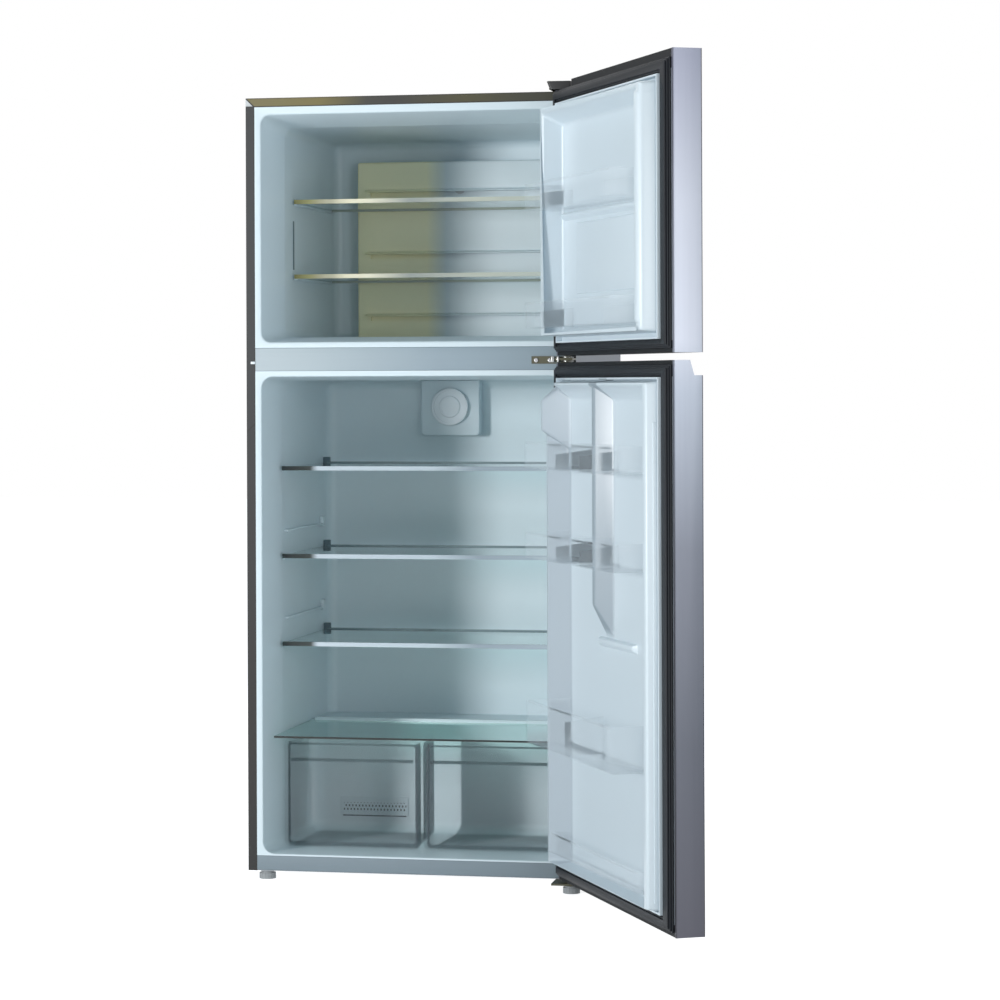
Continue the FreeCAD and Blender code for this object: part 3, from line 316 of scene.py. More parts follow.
def paint(material, direction, span, stops, within=(), how="MIX"):
    # lays a run of tones along a direction; within lists the rulers that limit it
    tree = material.node_tree
    shader = tree.nodes["Principled BSDF"]
    under = shader.inputs["Base Color"].links[0].from_socket
    ramp = tree.nodes.new("ShaderNodeValToRGB")
    while len(ramp.color_ramp.elements) < len(stops):
        ramp.color_ramp.elements.new(0.5)
    for element, (spot, tone) in zip(ramp.color_ramp.elements, stops):
        element.position = (spot - span[0]) / (span[1] - span[0])
        element.color = shade(tone)
    tree.links.new(ruler(tree, direction, *span), ramp.inputs["Fac"])
    mix = tree.nodes.new("ShaderNodeMix")
    mix.data_type = "RGBA"
    mix.blend_type = how
    mix.inputs["Factor"].default_value = 1
    factor = None
    for limit in within:
        measure = ruler(tree, *limit)
        if factor is None:
            factor = measure
            continue
        both = tree.nodes.new("ShaderNodeMath")
        both.operation = "MULTIPLY"
        tree.links.new(factor, both.inputs[0])
        tree.links.new(measure, both.inputs[1])
        factor = both.outputs[0]
    if factor is not None:
        tree.links.new(factor, mix.inputs["Factor"])
    tree.links.new(under, mix.inputs[6])
    tree.links.new(ramp.outputs["Color"], mix.inputs[7])
    tree.links.new(mix.outputs[2], shader.inputs["Base Color"])


def newThin(name, look):
    # thin clear plastic: seen through face on, brighter where a wall is seen edge on
    material = newFinish(name, look)
    tree = material.node_tree
    shader = tree.nodes["Principled BSDF"]
    facing = tree.nodes.new("ShaderNodeLayerWeight")
    facing.inputs["Blend"].default_value = 0.5
    veil = tree.nodes.new("ShaderNodeMapRange")
    veil.inputs["From Min"].default_value = 0.84
    veil.inputs["To Min"].default_value = look["faceOn"]
    veil.inputs["To Max"].default_value = look["edgeOn"]
    tree.links.new(facing.outputs["Facing"], veil.inputs["Value"])
    tree.links.new(veil.outputs["Result"], shader.inputs["Alpha"])
    return material


looks = {
    "liner": {"tone": (212, 226, 232), "tone2": (207, 222, 229), "rough": (0.3, 0.38), "bump": 0.02, "cloud": 2},
    "doorLiner": {"tone": (208, 220, 227), "tone2": (204, 217, 225), "rough": (0.28, 0.34), "bump": 0.0,
                  "cloud": 2},
    "panel": {"tone": (212, 225, 231), "tone2": (207, 221, 228), "rough": (0.35, 0.45), "bump": 0.03},
    "cover": {"tone": (214, 226, 231), "tone2": (209, 222, 228), "rough": (0.3, 0.4), "bump": 0.03},
    "dial": {"tone": (226, 233, 238), "tone2": (220, 228, 234), "rough": (0.2, 0.3), "bump": 0.02},
    "strip": {"tone": (255, 255, 255), "tone2": (243, 244, 245), "rough": (0.45, 0.55), "metal": 0.0,
              "stretch": (0.03, 1, 1), "cloud": 60, "grain": 700, "bump": 0.04},
    # the base rail is the front paint of the mullion strip, written darker as painted shade
    "rail": {"tone": (124, 138, 146), "tone2": (117, 131, 140), "rough": (0.45, 0.55), "metal": 0.0,
             "stretch": (0.03, 1, 1), "cloud": 60, "grain": 700, "bump": 0.04},
    "doorSteel": {"tone": (255, 255, 255), "tone2": (243, 243, 245), "rough": (0.36, 0.48), "metal": 0.15,
                  "stretch": (1, 1, 0.02), "cloud": 90, "grain": 900, "bump": 0.04},
    "cap": {"tone": (22, 25, 28), "tone2": (17, 19, 22), "rough": (0.55, 0.68), "shine": 0.2, "bump": 0.1, "grain": 700},
    "gasket": {"tone": (20, 25, 31), "tone2": (16, 19, 25), "rough": (0.42, 0.55), "shine": 0.25, "bump": 0.04},
    "zinc": {"tone": (168, 172, 176), "tone2": (150, 155, 160), "rough": (0.38, 0.55), "metal": 0.8, "cloud": 60,
             "bump": 0.05},
    "hinge": {"tone": (92, 90, 70), "tone2": (66, 66, 52), "rough": (0.35, 0.5), "metal": 0.15, "cloud": 30,
              "bump": 0.06},
    "washer": {"tone": (186, 188, 188), "tone2": (150, 152, 150), "rough": (0.18, 0.3), "metal": 0.9, "cloud": 50},
    "hingeCover": {"tone": (26, 27, 29), "tone2": (21, 22, 24), "rough": (0.4, 0.55), "bump": 0.12},
    "stop": {"tone": (104, 122, 130), "tone2": (96, 114, 122), "rough": (0.5, 0.6)},
    "screw": {"tone": (196, 197, 199), "tone2": (170, 171, 174), "rough": (0.15, 0.25), "metal": 0.95},
    "foot": {"tone": (156, 160, 162), "tone2": (140, 145, 148), "rough": (0.4, 0.55), "bump": 0.12},
    "support": {"tone": (46, 47, 49), "tone2": (38, 39, 41), "rough": (0.5, 0.65), "bump": 0.2},
    "foam": {"tone": (226, 214, 160), "tone2": (210, 196, 140), "rough": (0.8, 0.95), "bump": 0.5, "grain": 260},
    "fins": {"tone": (196, 198, 200), "tone2": (170, 173, 176), "rough": (0.25, 0.4), "metal": 0.9, "bump": 0.05},
    "motor": {"tone": (44, 46, 48), "tone2": (36, 38, 40), "rough": (0.45, 0.6), "bump": 0.1},
    "fan": {"tone": (188, 192, 196), "tone2": (178, 182, 187), "rough": (0.4, 0.5), "bump": 0.05},
    "enamel": {"tone": (24, 24, 26), "tone2": (32, 32, 34), "rough": (0.25, 0.4), "coat": 0.4, "bump": 0.1},
    "tube": {"tone": (34, 34, 36), "tone2": (46, 45, 44), "rough": (0.4, 0.55), "bump": 0.1},
    "copper": {"tone": (190, 118, 78), "tone2": (160, 92, 60), "rough": (0.25, 0.4), "metal": 1, "cloud": 40},
    "tray": {"tone": (36, 37, 39), "tone2": (30, 31, 33), "rough": (0.45, 0.6), "bump": 0.12},
    "bush": {"tone": (20, 20, 21), "tone2": (26, 26, 27), "rough": (0.6, 0.75), "bump": 0.1},
    "sidePaint": {"tone": (134, 138, 145), "tone2": (127, 131, 139), "rough": (0.5, 0.62), "metal": 0.0,
                  "cloud": 4, "grain": 900, "bump": 0.06},
    "rearPaint": {"tone": (98, 101, 106), "tone2": (90, 93, 98), "rough": (0.4, 0.52), "metal": 0.2,
                  "cloud": 6, "grain": 900, "bump": 0.06},
    "dark": {"tone": (36, 40, 44), "tone2": (30, 34, 38), "rough": (0.6, 0.7)},
    "groove": {"tone": (104, 120, 128), "tone2": (96, 112, 120), "rough": (0.5, 0.6)},
    "trim": {"tone": (255, 255, 255), "tone2": (236, 238, 240), "rough": (0.16, 0.26), "metal": 0.35,
             "stretch": (0.03, 1, 1), "cloud": 50, "grain": 600},
    # freezer shelf trims: the plain trim, with gold added below as painted reflection
    "trimGoldReflection": {"tone": (255, 255, 255), "tone2": (226, 224, 216), "rough": (0.2, 0.3), "metal": 0.1,
                 "stretch": (0.08, 1, 1), "cloud": 40, "grain": 600},
}
finishes = {name: newFinish(name, look) for name, look in looks.items()}

clearLooks = {
    "shelfGlass": {"tone": (232, 246, 244), "tone2": (226, 243, 241), "rough": (0.0, 0.02), "ior": 1.5,
                   "passing": (236, 246, 246), "bump": 0.0},
    "crisperGlass": {"tone": (214, 236, 232), "tone2": (209, 233, 229), "rough": (0.0, 0.02), "ior": 1.5,
                     "passing": (226, 242, 238), "bump": 0.0},
}
for name, look in clearLooks.items():
    finishes[name] = newClear(name, look)

thinLooks = {
    "binClear": {"tone": (222, 233, 240), "tone2": (217, 229, 237), "rough": (0.05, 0.12), "bump": 0.01,
                 "faceOn": 0.06, "edgeOn": 0.6},
    "drawerClear": {"tone": (208, 226, 238), "tone2": (203, 222, 235), "rough": (0.05, 0.14), "bump": 0.01,
                    "faceOn": 0.035, "edgeOn": 0.5},
}
for name, look in thinLooks.items():
    finishes[name] = newThin(name, look)

# painted light on the door's edge: painted bright at the top, falling off to painted shade towards the floor
paint(finishes["doorSteel"], (0, 0, 1), (25, 1651), [
    (30, (84, 84, 94)), (370, (86, 90, 101)), (735, (113, 118, 130)), (1026, (165, 173, 186)),
    (1116, (192, 197, 209)), (1372, (183, 188, 200)), (1640, (149, 153, 170))], how="MULTIPLY")
# painted shade: darker lines along the door's front and back rounded edges
paint(finishes["doorSteel"], acrossDoor, (acrossStart - 37, acrossStart + 20.2), [
    (acrossStart - 37, (110, 110, 116)), (acrossStart - 35, (110, 110, 116)), (acrossStart - 34, (255, 255, 255)),
    (acrossStart + 18, (255, 255, 255)), (acrossStart + 19.6, (150, 150, 156))], how="MULTIPLY")

# painted reflection on the folded front of the cabinet: charcoal at the floor, lighter up the side, olive along the
# top
frontOnly = ((0, 1, 0), 1.6, 1.2)
paint(finishes["sidePaint"], (0, 0, 1), (19, 1638), [
    (60, (46, 46, 46)), (375, (56, 57, 57)), (794, (112, 122, 128)), (962, (148, 157, 163)),
    (1130, (180, 188, 193)), (1569, (188, 193, 195))], within=[frontOnly])
cornerCut = 1288
paint(finishes["sidePaint"], (1, 0, 0), (-350, 350), [
    (-340, (106, 99, 66)), (-190, (106, 97, 56)), (-90, (46, 46, 40)), (-30, (38, 38, 36)),
    (120, (62, 59, 34)), (250, (44, 45, 32))],
    within=[frontOnly, ((0, 0, 1), 1618.5, 1619), ((1, 0, 1), cornerCut - 0.3, cornerCut + 0.3),
            ((-1, 0, 1), cornerCut - 0.3, cornerCut + 0.3)])

dark, plain = (46, 48, 50), (255, 255, 255)
for side in (-1, 1):
    # the dark seam along the inner edge of the fold, and the mitre at the top corner; the fold's outer edge is
    # painted a shade darker as painted shade
    paint(finishes["sidePaint"], (side, 0, 0), (331, 350), [
        (331, dark), (332.4, dark), (333.4, plain), (348.4, plain), (349.6, (120, 122, 124))],
        within=[frontOnly, ((0, 0, 1), 1620, 1619)], how="MULTIPLY")
    paint(finishes["sidePaint"], (side, 0, 1), (cornerCut - 3, cornerCut + 3), [
        (cornerCut - 2.2, plain), (cornerCut - 1.4, dark), (cornerCut + 1.4, dark), (cornerCut + 2.2, plain)],
        within=[frontOnly], how="MULTIPLY")
# the same seam along the top flange, with its outer edge painted a shade darker as painted shade
paint(finishes["sidePaint"], (0, 0, 1), (1619, 1638), [
    (1619, dark), (1620.6, dark), (1621.8, plain), (1635.6, plain), (1637.4, (120, 112, 104))],
    within=[frontOnly, ((0, 0, 1), 1618.6, 1619)], how="MULTIPLY")
alongDoor = Matrix.Rotation(swing["angle"], 3, "Z") @ Vector((-1, 0, 0))  # from the hinge to the free edge
alongStart = alongDoor.dot(Vector((swing["axis"].x, swing["axis"].y, 0))) / metre
for near, far, low, high, tone in ((296, 345, 548, 1044, (186, 190, 194)), (30, 82, 66, 1044, (212, 214, 217))):
    # painted shade: the sloping sides of the door's moulding are painted a shade darker
    paint(finishes["doorLiner"], alongDoor, (alongStart + near - 10, alongStart + far + 10), [
        (alongStart + near - 2, plain), (alongStart + near + 6, tone), (alongStart + far - 4, tone),
        (alongStart + far + 4, plain)],
        within=[((0, 0, 1), low - 6, low + 14), ((0, 0, 1), high + 8, high)], how="MULTIPLY")
# painted shade on the mullion strip: lighter at the left, darker towards the right
paint(finishes["strip"], (1, 0, 0), (-331, 331), [
    (-331, (176, 188, 194)), (-230, (170, 183, 189)), (60, (144, 160, 170)), (250, (140, 157, 167))],
    how="MULTIPLY")
# painted reflection: a warm gold tint over the left part of the evaporator cover
paint(finishes["cover"], (1, 0, 0), (-235, 235), [
    (-235, (252, 247, 206)), (-75, (252, 247, 210)), (-30, (214, 226, 231))])
# painted reflection on the fridge shelf trims: dark at the left end, bright across the middle
paint(finishes["trim"], (1, 0, 0), (-304, 304), [
    (-304, (52, 60, 60)), (-242, (56, 64, 62)), (-226, (186, 198, 206)), (20, (184, 198, 206)),
    (120, (148, 162, 172)), (300, (170, 184, 193))], how="MULTIPLY")
# painted reflection on the freezer shelf trims: a gold and olive tint, bright across the left half
paint(finishes["trimGoldReflection"], (1, 0, 0), (-295, 295), [
    (-295, (146, 142, 92)), (-262, (190, 184, 128)), (-225, (232, 226, 196)), (-130, (228, 226, 206)),
    (-40, (152, 160, 158)), (110, (196, 202, 192)), (290, (190, 200, 196))], how="MULTIPLY")
for name, low, tone in (("trim", 300, (120, 138, 145)), ("trimGoldReflection", 300, (150, 158, 148))):
    # the strip at the back of the glass is plain
    paint(finishes[name], (0, 1, 0), (0, 600), [(0, tone), (600, tone)],
          within=[((0, 1, 0), low, low + 1)])
paint(finishes["crisperGlass"], (0, 1, 0), (38, 40), [(38.2, (58, 98, 98)), (38.6, (214, 236, 232))],
      how="MULTIPLY")
print("finishes:", len(finishes))

recordSlots = {
    "liner": "liner_white", "doorLiner": "liner_white", "panel": "panel_white", "dial": "dial_white",
    "cover": "panel_white", "groove": "panel_white", "washer": "hinge_steel", "stop": "panel_white",
    "strip": "front_paint", "rail": "front_paint", "doorSteel": "door_steel", "cap": "cap_plastic",
    "gasket": "gasket_rubber", "hinge": "hinge_steel", "hingeCover": "cover_plastic",
    "screw": "screw_chrome", "foot": "foot_plastic", "dark": "motor_plastic", "shelfGlass": "shelf_glass",
    "binClear": "bin_clear", "drawerClear": "drawer_clear", "trim": "shelf_trim",
}


def finish(name):
    return finishes[name], recordSlots[name]


# ---- the two compartments ----

fridgeRoom = {
    "node": "fridge_liner", "rimHalf": 331, "rimLow": 51, "rimHigh": 1065.5, "openHalf": 318, "openLow": 55,
    "openHigh": 1054, "wallHalf": 309, "floor": 55, "ceiling": 1046, "funnel": 130, "back": 535,
    "stepFront": 350, "stepTop": 295, "corner": 24, "lip": 3, "wall": 1.5,
}
freezerRoom = {
    "node": "freezer_liner", "rimHalf": 331, "rimLow": 1114.5, "rimHigh": 1619, "openHalf": 318,
    "openLow": 1126, "openHigh": 1603, "wallHalf": 300, "floor": 1138, "ceiling": 1585, "funnel": 130,
    "back": 575, "corner": 20, "lip": 4, "wall": 1.5,
}


def roomShape(room, grow, front):
    # the hollow of a compartment as a solid, grown by the wall where it is the outside
    stepped = "stepFront" in room
    stop = room["stepFront"] if stepped else room["back"]
    piece = block("room", (-room["wallHalf"] - grow, room["wallHalf"] + grow), (front, stop + grow),
                  (room["floor"] - grow, room["ceiling"] + grow))
    slicePiece(piece, (0, room["funnel"], 0), (0, 1, 0))
    widen = room["openHalf"] - room["wallHalf"]
    isFront = lambda y: y < front + 0.1
    shift(piece, lambda x, y, z: isFront(y) and x < 0, x=-widen)
    shift(piece, lambda x, y, z: isFront(y) and x > 0, x=widen)
    middle = (room["floor"] + room["ceiling"]) / 2
    shift(piece, lambda x, y, z: isFront(y) and z > middle, z=room["openHigh"] - room["ceiling"])
    shift(piece, lambda x, y, z: isFront(y) and z < middle, z=room["openLow"] - room["floor"])
    if stepped:
        slicePiece(piece, (0, 0, room["stepTop"] - grow), (0, 0, 1))
        pick(piece, "FACE", lambda f: f.normal.y > 0.9 and f.calc_center_median().z / metre > room["stepTop"])
        deeper = (room["back"] - room["stepFront"]) * metre
        bpy.ops.mesh.extrude_region_move(TRANSFORM_OT_translate={"value": (0, deeper, 0)})
        done()

    def onStep(middle, run):
        return (stepped and abs(run.x) > 0.9 and abs(middle.y - stop - grow) < 1
                and abs(middle.z - room["stepTop"] + grow) < 1)
    roundEdges(piece, 2, 3, onStep)
    roundEdges(piece, room["corner"] + grow, 6,
               lambda middle, run: middle.y > front + 0.1 and not (stepped and abs(middle.z - room["stepTop"]) < 6))
    return piece


def makeLiner(room):
    liner = block(room["node"] + "_form", (-room["rimHalf"], room["rimHalf"]), (0, room["wall"]),
                  (room["rimLow"], room["rimHigh"]))
    combine(liner, roomShape(room, room["wall"], 0.3), "UNION")
    combine(liner, roomShape(room, 0, -1), "DIFFERENCE")

    def onMouth(middle, run):
        return (abs(middle.y) < 0.05 and abs(middle.x) < room["openHalf"] + 2
                and room["openLow"] - 2 < middle.z < room["openHigh"] + 2)
    roundEdges(liner, room["lip"], 4, onMouth)
    pick(liner, "EDGE", lambda e: all(abs(v.co.y / metre - room["funnel"]) < 0.2 for v in e.verts))
    bpy.ops.mesh.mark_sharp()
    done()
    return liner


def sideRests(room, tops, front, back, stopSize=None):
    # moulded rests for a shelf on both side walls, with a stop block at the back
    made = []
    for top in tops:
        for side in (-1, 1):
            wall = side * room["wallHalf"]
            bar = block("rest", sorted((wall, wall - side * 8)), (front, back), (top - 5, top))
            roundEdges(bar, 1.6, 3)
            made.append(bar)
            if stopSize:
                stop = block("stop", sorted((wall, wall - side * stopSize[0])), (back - 14, back + 8),
                             (top - 8, top + stopSize[1]))
                roundEdges(stop, 2, 3)
                made.append(stop)
    return made


shelfLevels = {
    "freezer": [1428.7, 1267.7], "fridge": [856.7, 669.7, 482.7], "spare": [727, 540], "crisper": 293,
}

freezerLiner = makeLiner(freezerRoom)
rests = sideRests(freezerRoom, shelfLevels["freezer"], 204, 524)
freezerLiner = joinPieces(freezerLiner, rests)
settle(freezerLiner, "cabinet", finish("liner"), ["freezer_liner"])

fridgeLiner = makeLiner(fridgeRoom)
rests = sideRests(fridgeRoom, shelfLevels["fridge"], 138, 492)
rests += sideRests(fridgeRoom, shelfLevels["spare"], 150, 470, (9, 14))
rests += sideRests(fridgeRoom, [shelfLevels["crisper"]], 138, 350)
for front, high in ((356, 303), (378, 299)):
    # two moulded ridges along the top of the step
    ridge = block("ridge", (-296, 296), (front, front + 9), (292, high))
    roundEdges(ridge, 2.4, 4)
    rests.append(ridge)
fridgeLiner = joinPieces(fridgeLiner, rests)
settle(fridgeLiner, "cabinet", finish("liner"), ["fridge_liner"])


def makeShelfStops():
    # the blocks behind the back corners of the fridge shelves, coloured the grey of painted shade
    stops = []
    for top in shelfLevels["fridge"]:
        for side in (-1, 1):
            stop = block("stop", sorted((side * 309.2, side * 294)), (491, 503), (top - 9, top + 17))
            roundEdges(stop, 1.6, 3)
            stops.append(stop)
    stops = joinPieces(stops[0], stops[1:])
    stops.name = "shelf_stops"
    settle(stops, "cabinet", finish("stop"))


makeShelfStops()
print("liners made")


# ---- doors ----

doorForm = {
    "edge": 686, "hingeEdge": -12, "face": -36.6, "inner": 20, "sheet": 0.8, "fold": 8, "soft": 1.6,
    "gasketEdge": 676, "gasketHinge": -2, "beads": [(0, 20.0, 24.5), (3, 24.5, 28.0), (6.5, 28.0, 31.4)],
    "lip": 4, "lipTop": 32.6,
    "freezer": {"low": 1094.5, "high": 1651, "gasket": (1102.5, 1635), "white": (1119.5, 1608)},
    "fridge": {"low": 25, "high": 1080.5, "gasket": (33, 1072.5), "white": (59, 1049.5)},
}


def pullRecess():
    # the long pocket in the top of the lower door that the fingers pull on
    low, high = 1052.5, 1082.5
    tool = doorBlock("recess", (-20, 700), (-46, -19.4), (low, high))
    shift(tool, lambda x, y, z: y > -30 and z > low + 1, y=8.7)
    return tool


def hingeNotch():
    return doorBlock("notch", (-20, 90), (-40, 24), (1637, 1655))


def makeSkin(which):
    form = doorForm[which]
    low, high = form["low"], form["high"]
    skin = doorBlock(which + "_door_wrap", (doorForm["hingeEdge"], doorForm["edge"]),
                     (doorForm["face"], doorForm["inner"]), (low, high))
    roundEdges(skin, doorForm["soft"], 4, lambda middle, run: abs(run.z) > 0.9)
    sheetThick = doorForm["sheet"]
    inside = doorBlock("inside", (doorForm["hingeEdge"] + sheetThick, doorForm["edge"] - sheetThick),
                       (doorForm["face"] + sheetThick, doorForm["inner"] - sheetThick), (low - 5, high + 5))
    combine(skin, inside, "DIFFERENCE")
    back = doorBlock("back", (doorForm["hingeEdge"] + doorForm["fold"], doorForm["edge"] - doorForm["fold"]),
                     (0, doorForm["inner"] + 5), (low - 5, high + 5))
    combine(skin, back, "DIFFERENCE")
    combine(skin, pullRecess() if which == "fridge" else hingeNotch(), "DIFFERENCE")
    swingOpen(skin)
    settle(skin, which + "_door", finish("doorSteel"), [which + "_door_skin"])


def makeGasket(which):
    # a soft profile: a wide foot with two narrower rounded beads on it
    form = doorForm[which]
    rings = []
    for inset, near, far in doorForm["beads"]:
        ring = doorBlock(which + "_door_seal", (doorForm["gasketHinge"] + inset, doorForm["gasketEdge"] - inset),
                         (near, far), (form["gasket"][0] + inset, form["gasket"][1] - inset))
        hole = doorBlock("hole", (22 - inset, 638 + inset), (near - 5, far + 5),
                         (form["white"][0] - inset, form["white"][1] + inset))
        combine(ring, hole, "DIFFERENCE")
        roundEdges(ring, 1.3, 3, lambda middle, run: middle.y > far - 0.1 or middle.y < near + 0.1)
        rings.append(ring)
    seal = joinPieces(rings[0], rings[1:])
    swingOpen(seal)
    settle(seal, which + "_door", finish("gasket"), [which + "_door_gasket"])


for which in ("freezer", "fridge"):
    makeSkin(which)
    makeGasket(which)


def whiteLip(which):
    # the thin raised lip of the inner panel that the gasket lies against
    low, high = doorForm[which]["white"]
    lip = doorBlock("lip", (22.4, 637.6), (18.8, doorForm["lipTop"]), (low + 0.4, high - 0.4))
    wall = doorForm["lip"]
    hole = doorBlock("hole", (24.6, 637.6 - wall), (10, 40), (low + 0.4 + wall, high - 0.4 - wall))
    combine(lip, hole, "DIFFERENCE")
    roundEdges(lip, 1.0, 3, lambda middle, run: middle.y > doorForm["lipTop"] - 0.1)
    shift(lip, lambda x, y, z: x < -630 and y > 30, y=2.6)
    return lip


def dykeRing(name, s, n, z, sill, hingeWide, freeWide, topWide, slopes):
    # a formed frame that stands up from the door's inner sheet round a shallow well
    ring = doorBlock(name, s, n, z)
    pick(ring, "FACE", lambda f: f.normal.y > 0.9)
    bpy.ops.mesh.inset(thickness=sill * metre)
    done()
    inner = {"left": -s[1] + sill, "right": -s[0] - sill, "low": z[0] + sill, "high": z[1] - sill}

    def near(a, b):
        return abs(a - b) < 0.5
    shift(ring, lambda x, y, zz: near(y, n[1]) and near(x, inner["left"]), x=freeWide - sill)
    shift(ring, lambda x, y, zz: near(y, n[1]) and near(x, inner["right"]), x=sill - hingeWide)
    shift(ring, lambda x, y, zz: near(y, n[1]) and near(zz, inner["high"]) and inner["left"] - 1 < x < inner["right"] + 1,
          z=sill - topWide)
    left, right = -s[1] + freeWide, -s[0] - hingeWide
    low, high = inner["low"], z[1] - topWide

    def isWell(face):
        centre = face.calc_center_median() / metre
        return face.normal.y > 0.9 and left < centre.x < right and low < centre.z < high and face.calc_area() > 0.05
    pick(ring, "FACE", isWell)
    bpy.ops.mesh.extrude_region_move(TRANSFORM_OT_translate={"value": (0, (n[0] + 1.3 - n[1]) * metre, 0)})
    done()
    floor = n[0] + 1.3
    inWell = lambda x, y, zz: near(y, floor) and left - 1 < x < right + 1
    shift(ring, lambda x, y, zz: inWell(x, y, zz) and near(x, left), x=slopes["free"])
    shift(ring, lambda x, y, zz: inWell(x, y, zz) and near(x, right), x=-slopes["hinge"])
    shift(ring, lambda x, y, zz: inWell(x, y, zz) and near(zz, high), z=-slopes["top"])
    shift(ring, lambda x, y, zz: inWell(x, y, zz) and near(zz, low), z=slopes["low"])
    # the outer sides lean in a little
    top = lambda y: near(y, n[1])
    shift(ring, lambda x, y, zz: top(y) and near(x, -s[0]), x=-1.5)
    shift(ring, lambda x, y, zz: top(y) and near(x, -s[1]), x=4)
    shift(ring, lambda x, y, zz: top(y) and near(zz, z[1]), z=-4)
    shift(ring, lambda x, y, zz: top(y) and near(zz, z[0]), z=4)
    return ring


def softLump(name, s, n, z, top, radius, steps=4):
    # a moulded lump: top gives how much each side leans in at its crest
    lump = doorBlock(name, s, n, z)
    crest = lambda y: abs(y - n[1]) < 0.1
    shift(lump, lambda x, y, zz: crest(y) and abs(x + s[0]) < 0.1, x=-top["hinge"])
    shift(lump, lambda x, y, zz: crest(y) and abs(x + s[1]) < 0.1, x=top["free"])
    shift(lump, lambda x, y, zz: crest(y) and abs(zz - z[1]) < 0.1, z=-top["high"])
    shift(lump, lambda x, y, zz: crest(y) and abs(zz - z[0]) < 0.1, z=top["low"])
    roundEdges(lump, radius, steps, lambda middle, run: middle.y > n[0] + 0.5)
    return lump


def doorStep(name, s, n, z):
    step = doorBlock(name, s, n, z)
    roundEdges(step, 1.1, 3)
    return step


def freezerDoorLiner():
    plate = doorBlock("plate", (-4, 678), (17.8, 19.4), (1117, 1614.5))
    ring = dykeRing("freezer_door_form", (25, 632), (18.5, 65), (1131.5, 1597.5), 5, 8, 32, 12,
                    {"free": 12, "hinge": 8, "top": 22, "low": 5})
    roundEdges(ring, 7, 5, lambda middle, run: middle.y > 18.6)
    extras = [
        plate,
        # the wide rounded post along the free side
        softLump("post", (590, 632), (24, 68), (1139, 1590), {"hinge": 4, "free": 4, "high": 6, "low": 5}, 14, 7),
        # the ledge that the upper bin hangs on
        softLump("ledge", (42, 600), (19, 30), (1366, 1384), {"hinge": 6, "free": 6, "high": 4, "low": 9}, 3),
        whiteLip("freezer"),
        # a shallow raised field in the well
        softLump("field", (128, 560), (19, 22.5), (1216, 1360), {"hinge": 2, "free": 2, "high": 2, "low": 2}, 1.4),
    ]
    liner = joinPieces(ring, extras)
    swingOpen(liner)
    settle(liner, "freezer_door", finish("doorLiner"), ["freezer_door_liner"])


def fridgeDoorLiner():
    plate = doorBlock("plate", (-4, 678), (17.8, 19.4), (47.5, 1050))
    ring = dykeRing("fridge_door_form", (25, 632), (18.5, 55), (64.5, 1043.5), 5, 9, 26, 9,
                    {"free": 10, "hinge": 44, "top": 28, "low": 5})
    # the top corner on the hinge side is cut away on a slant
    corner = doorBlock("corner", (5, 95), (20, 80), (1046, 1070))
    shift(corner, lambda x, y, z: y > 70 and z < 1050, z=-58)
    shift(corner, lambda x, y, z: x < -90 and y > 70, x=40)
    combine(ring, corner, "DIFFERENCE")
    roundEdges(ring, 5, 5, lambda middle, run: middle.y > 18.6)
    extras = [
        plate,
        softLump("bulge", (26, 84), (20, 67), (904, 1046), {"hinge": 1, "free": 50, "high": 42, "low": 40}, 5, 5),
        softLump("divider", (296, 345), (19, 50), (548, 1040), {"hinge": 4, "free": 30, "high": 5, "low": 60}, 4, 5),
        softLump("ledge", (262, 480), (19, 29), (524, 544), {"hinge": 10, "free": 10, "high": 3, "low": 8}, 2.5),
        # two steps on the outer side of the free dyke
        doorStep("step", (626, 633.4), (18, 31), (80, 960)),
        doorStep("step", (622, 631.8), (18, 42), (80, 966)),
        whiteLip("fridge"),
    ]
    liner = joinPieces(ring, extras)
    swingOpen(liner)
    settle(liner, "fridge_door", finish("doorLiner"), ["fridge_door_liner"])


freezerDoorLiner()
fridgeDoorLiner()
print("doors made")


# ---- door bins ----

binForm = {"back": 24, "front": 110, "wall": 2.2, "corner": 7, "floor": 4}
bins = {
    "freezer_bin_upper": {"s": (51, 590), "z": (1385.5, 1438.5), "taper": 5, "inward": 0, "posts": (120, 545)},
    "freezer_bin_lower": {"s": (51, 590), "z": (1148.5, 1201.5), "taper": 5, "inward": 0, "posts": (120, 545)},
    "fridge_bin_upper_hinge_side": {"s": (50, 293), "z": (868, 921), "taper": 0, "inward": 29, "posts": (248,)},
    "fridge_bin_upper_free_side": {"s": (347, 590), "z": (868, 921), "taper": 0, "inward": 0, "posts": (395,)},
    "fridge_bin_middle_hinge_side": {"s": (50, 293), "z": (687, 740), "taper": 0, "inward": 29, "posts": (248,)},
    "fridge_bin_middle_free_side": {"s": (347, 590), "z": (687, 740), "taper": 0, "inward": 0, "posts": (395,)},
    "fridge_bin_large": {"s": (56, 590), "z": (315, 403), "taper": 0, "inward": 29, "posts": (300,)},
    "fridge_bin_bottom": {"s": (50, 592), "z": (90, 133), "taper": 0, "inward": 29, "posts": (), "front": 59},
}


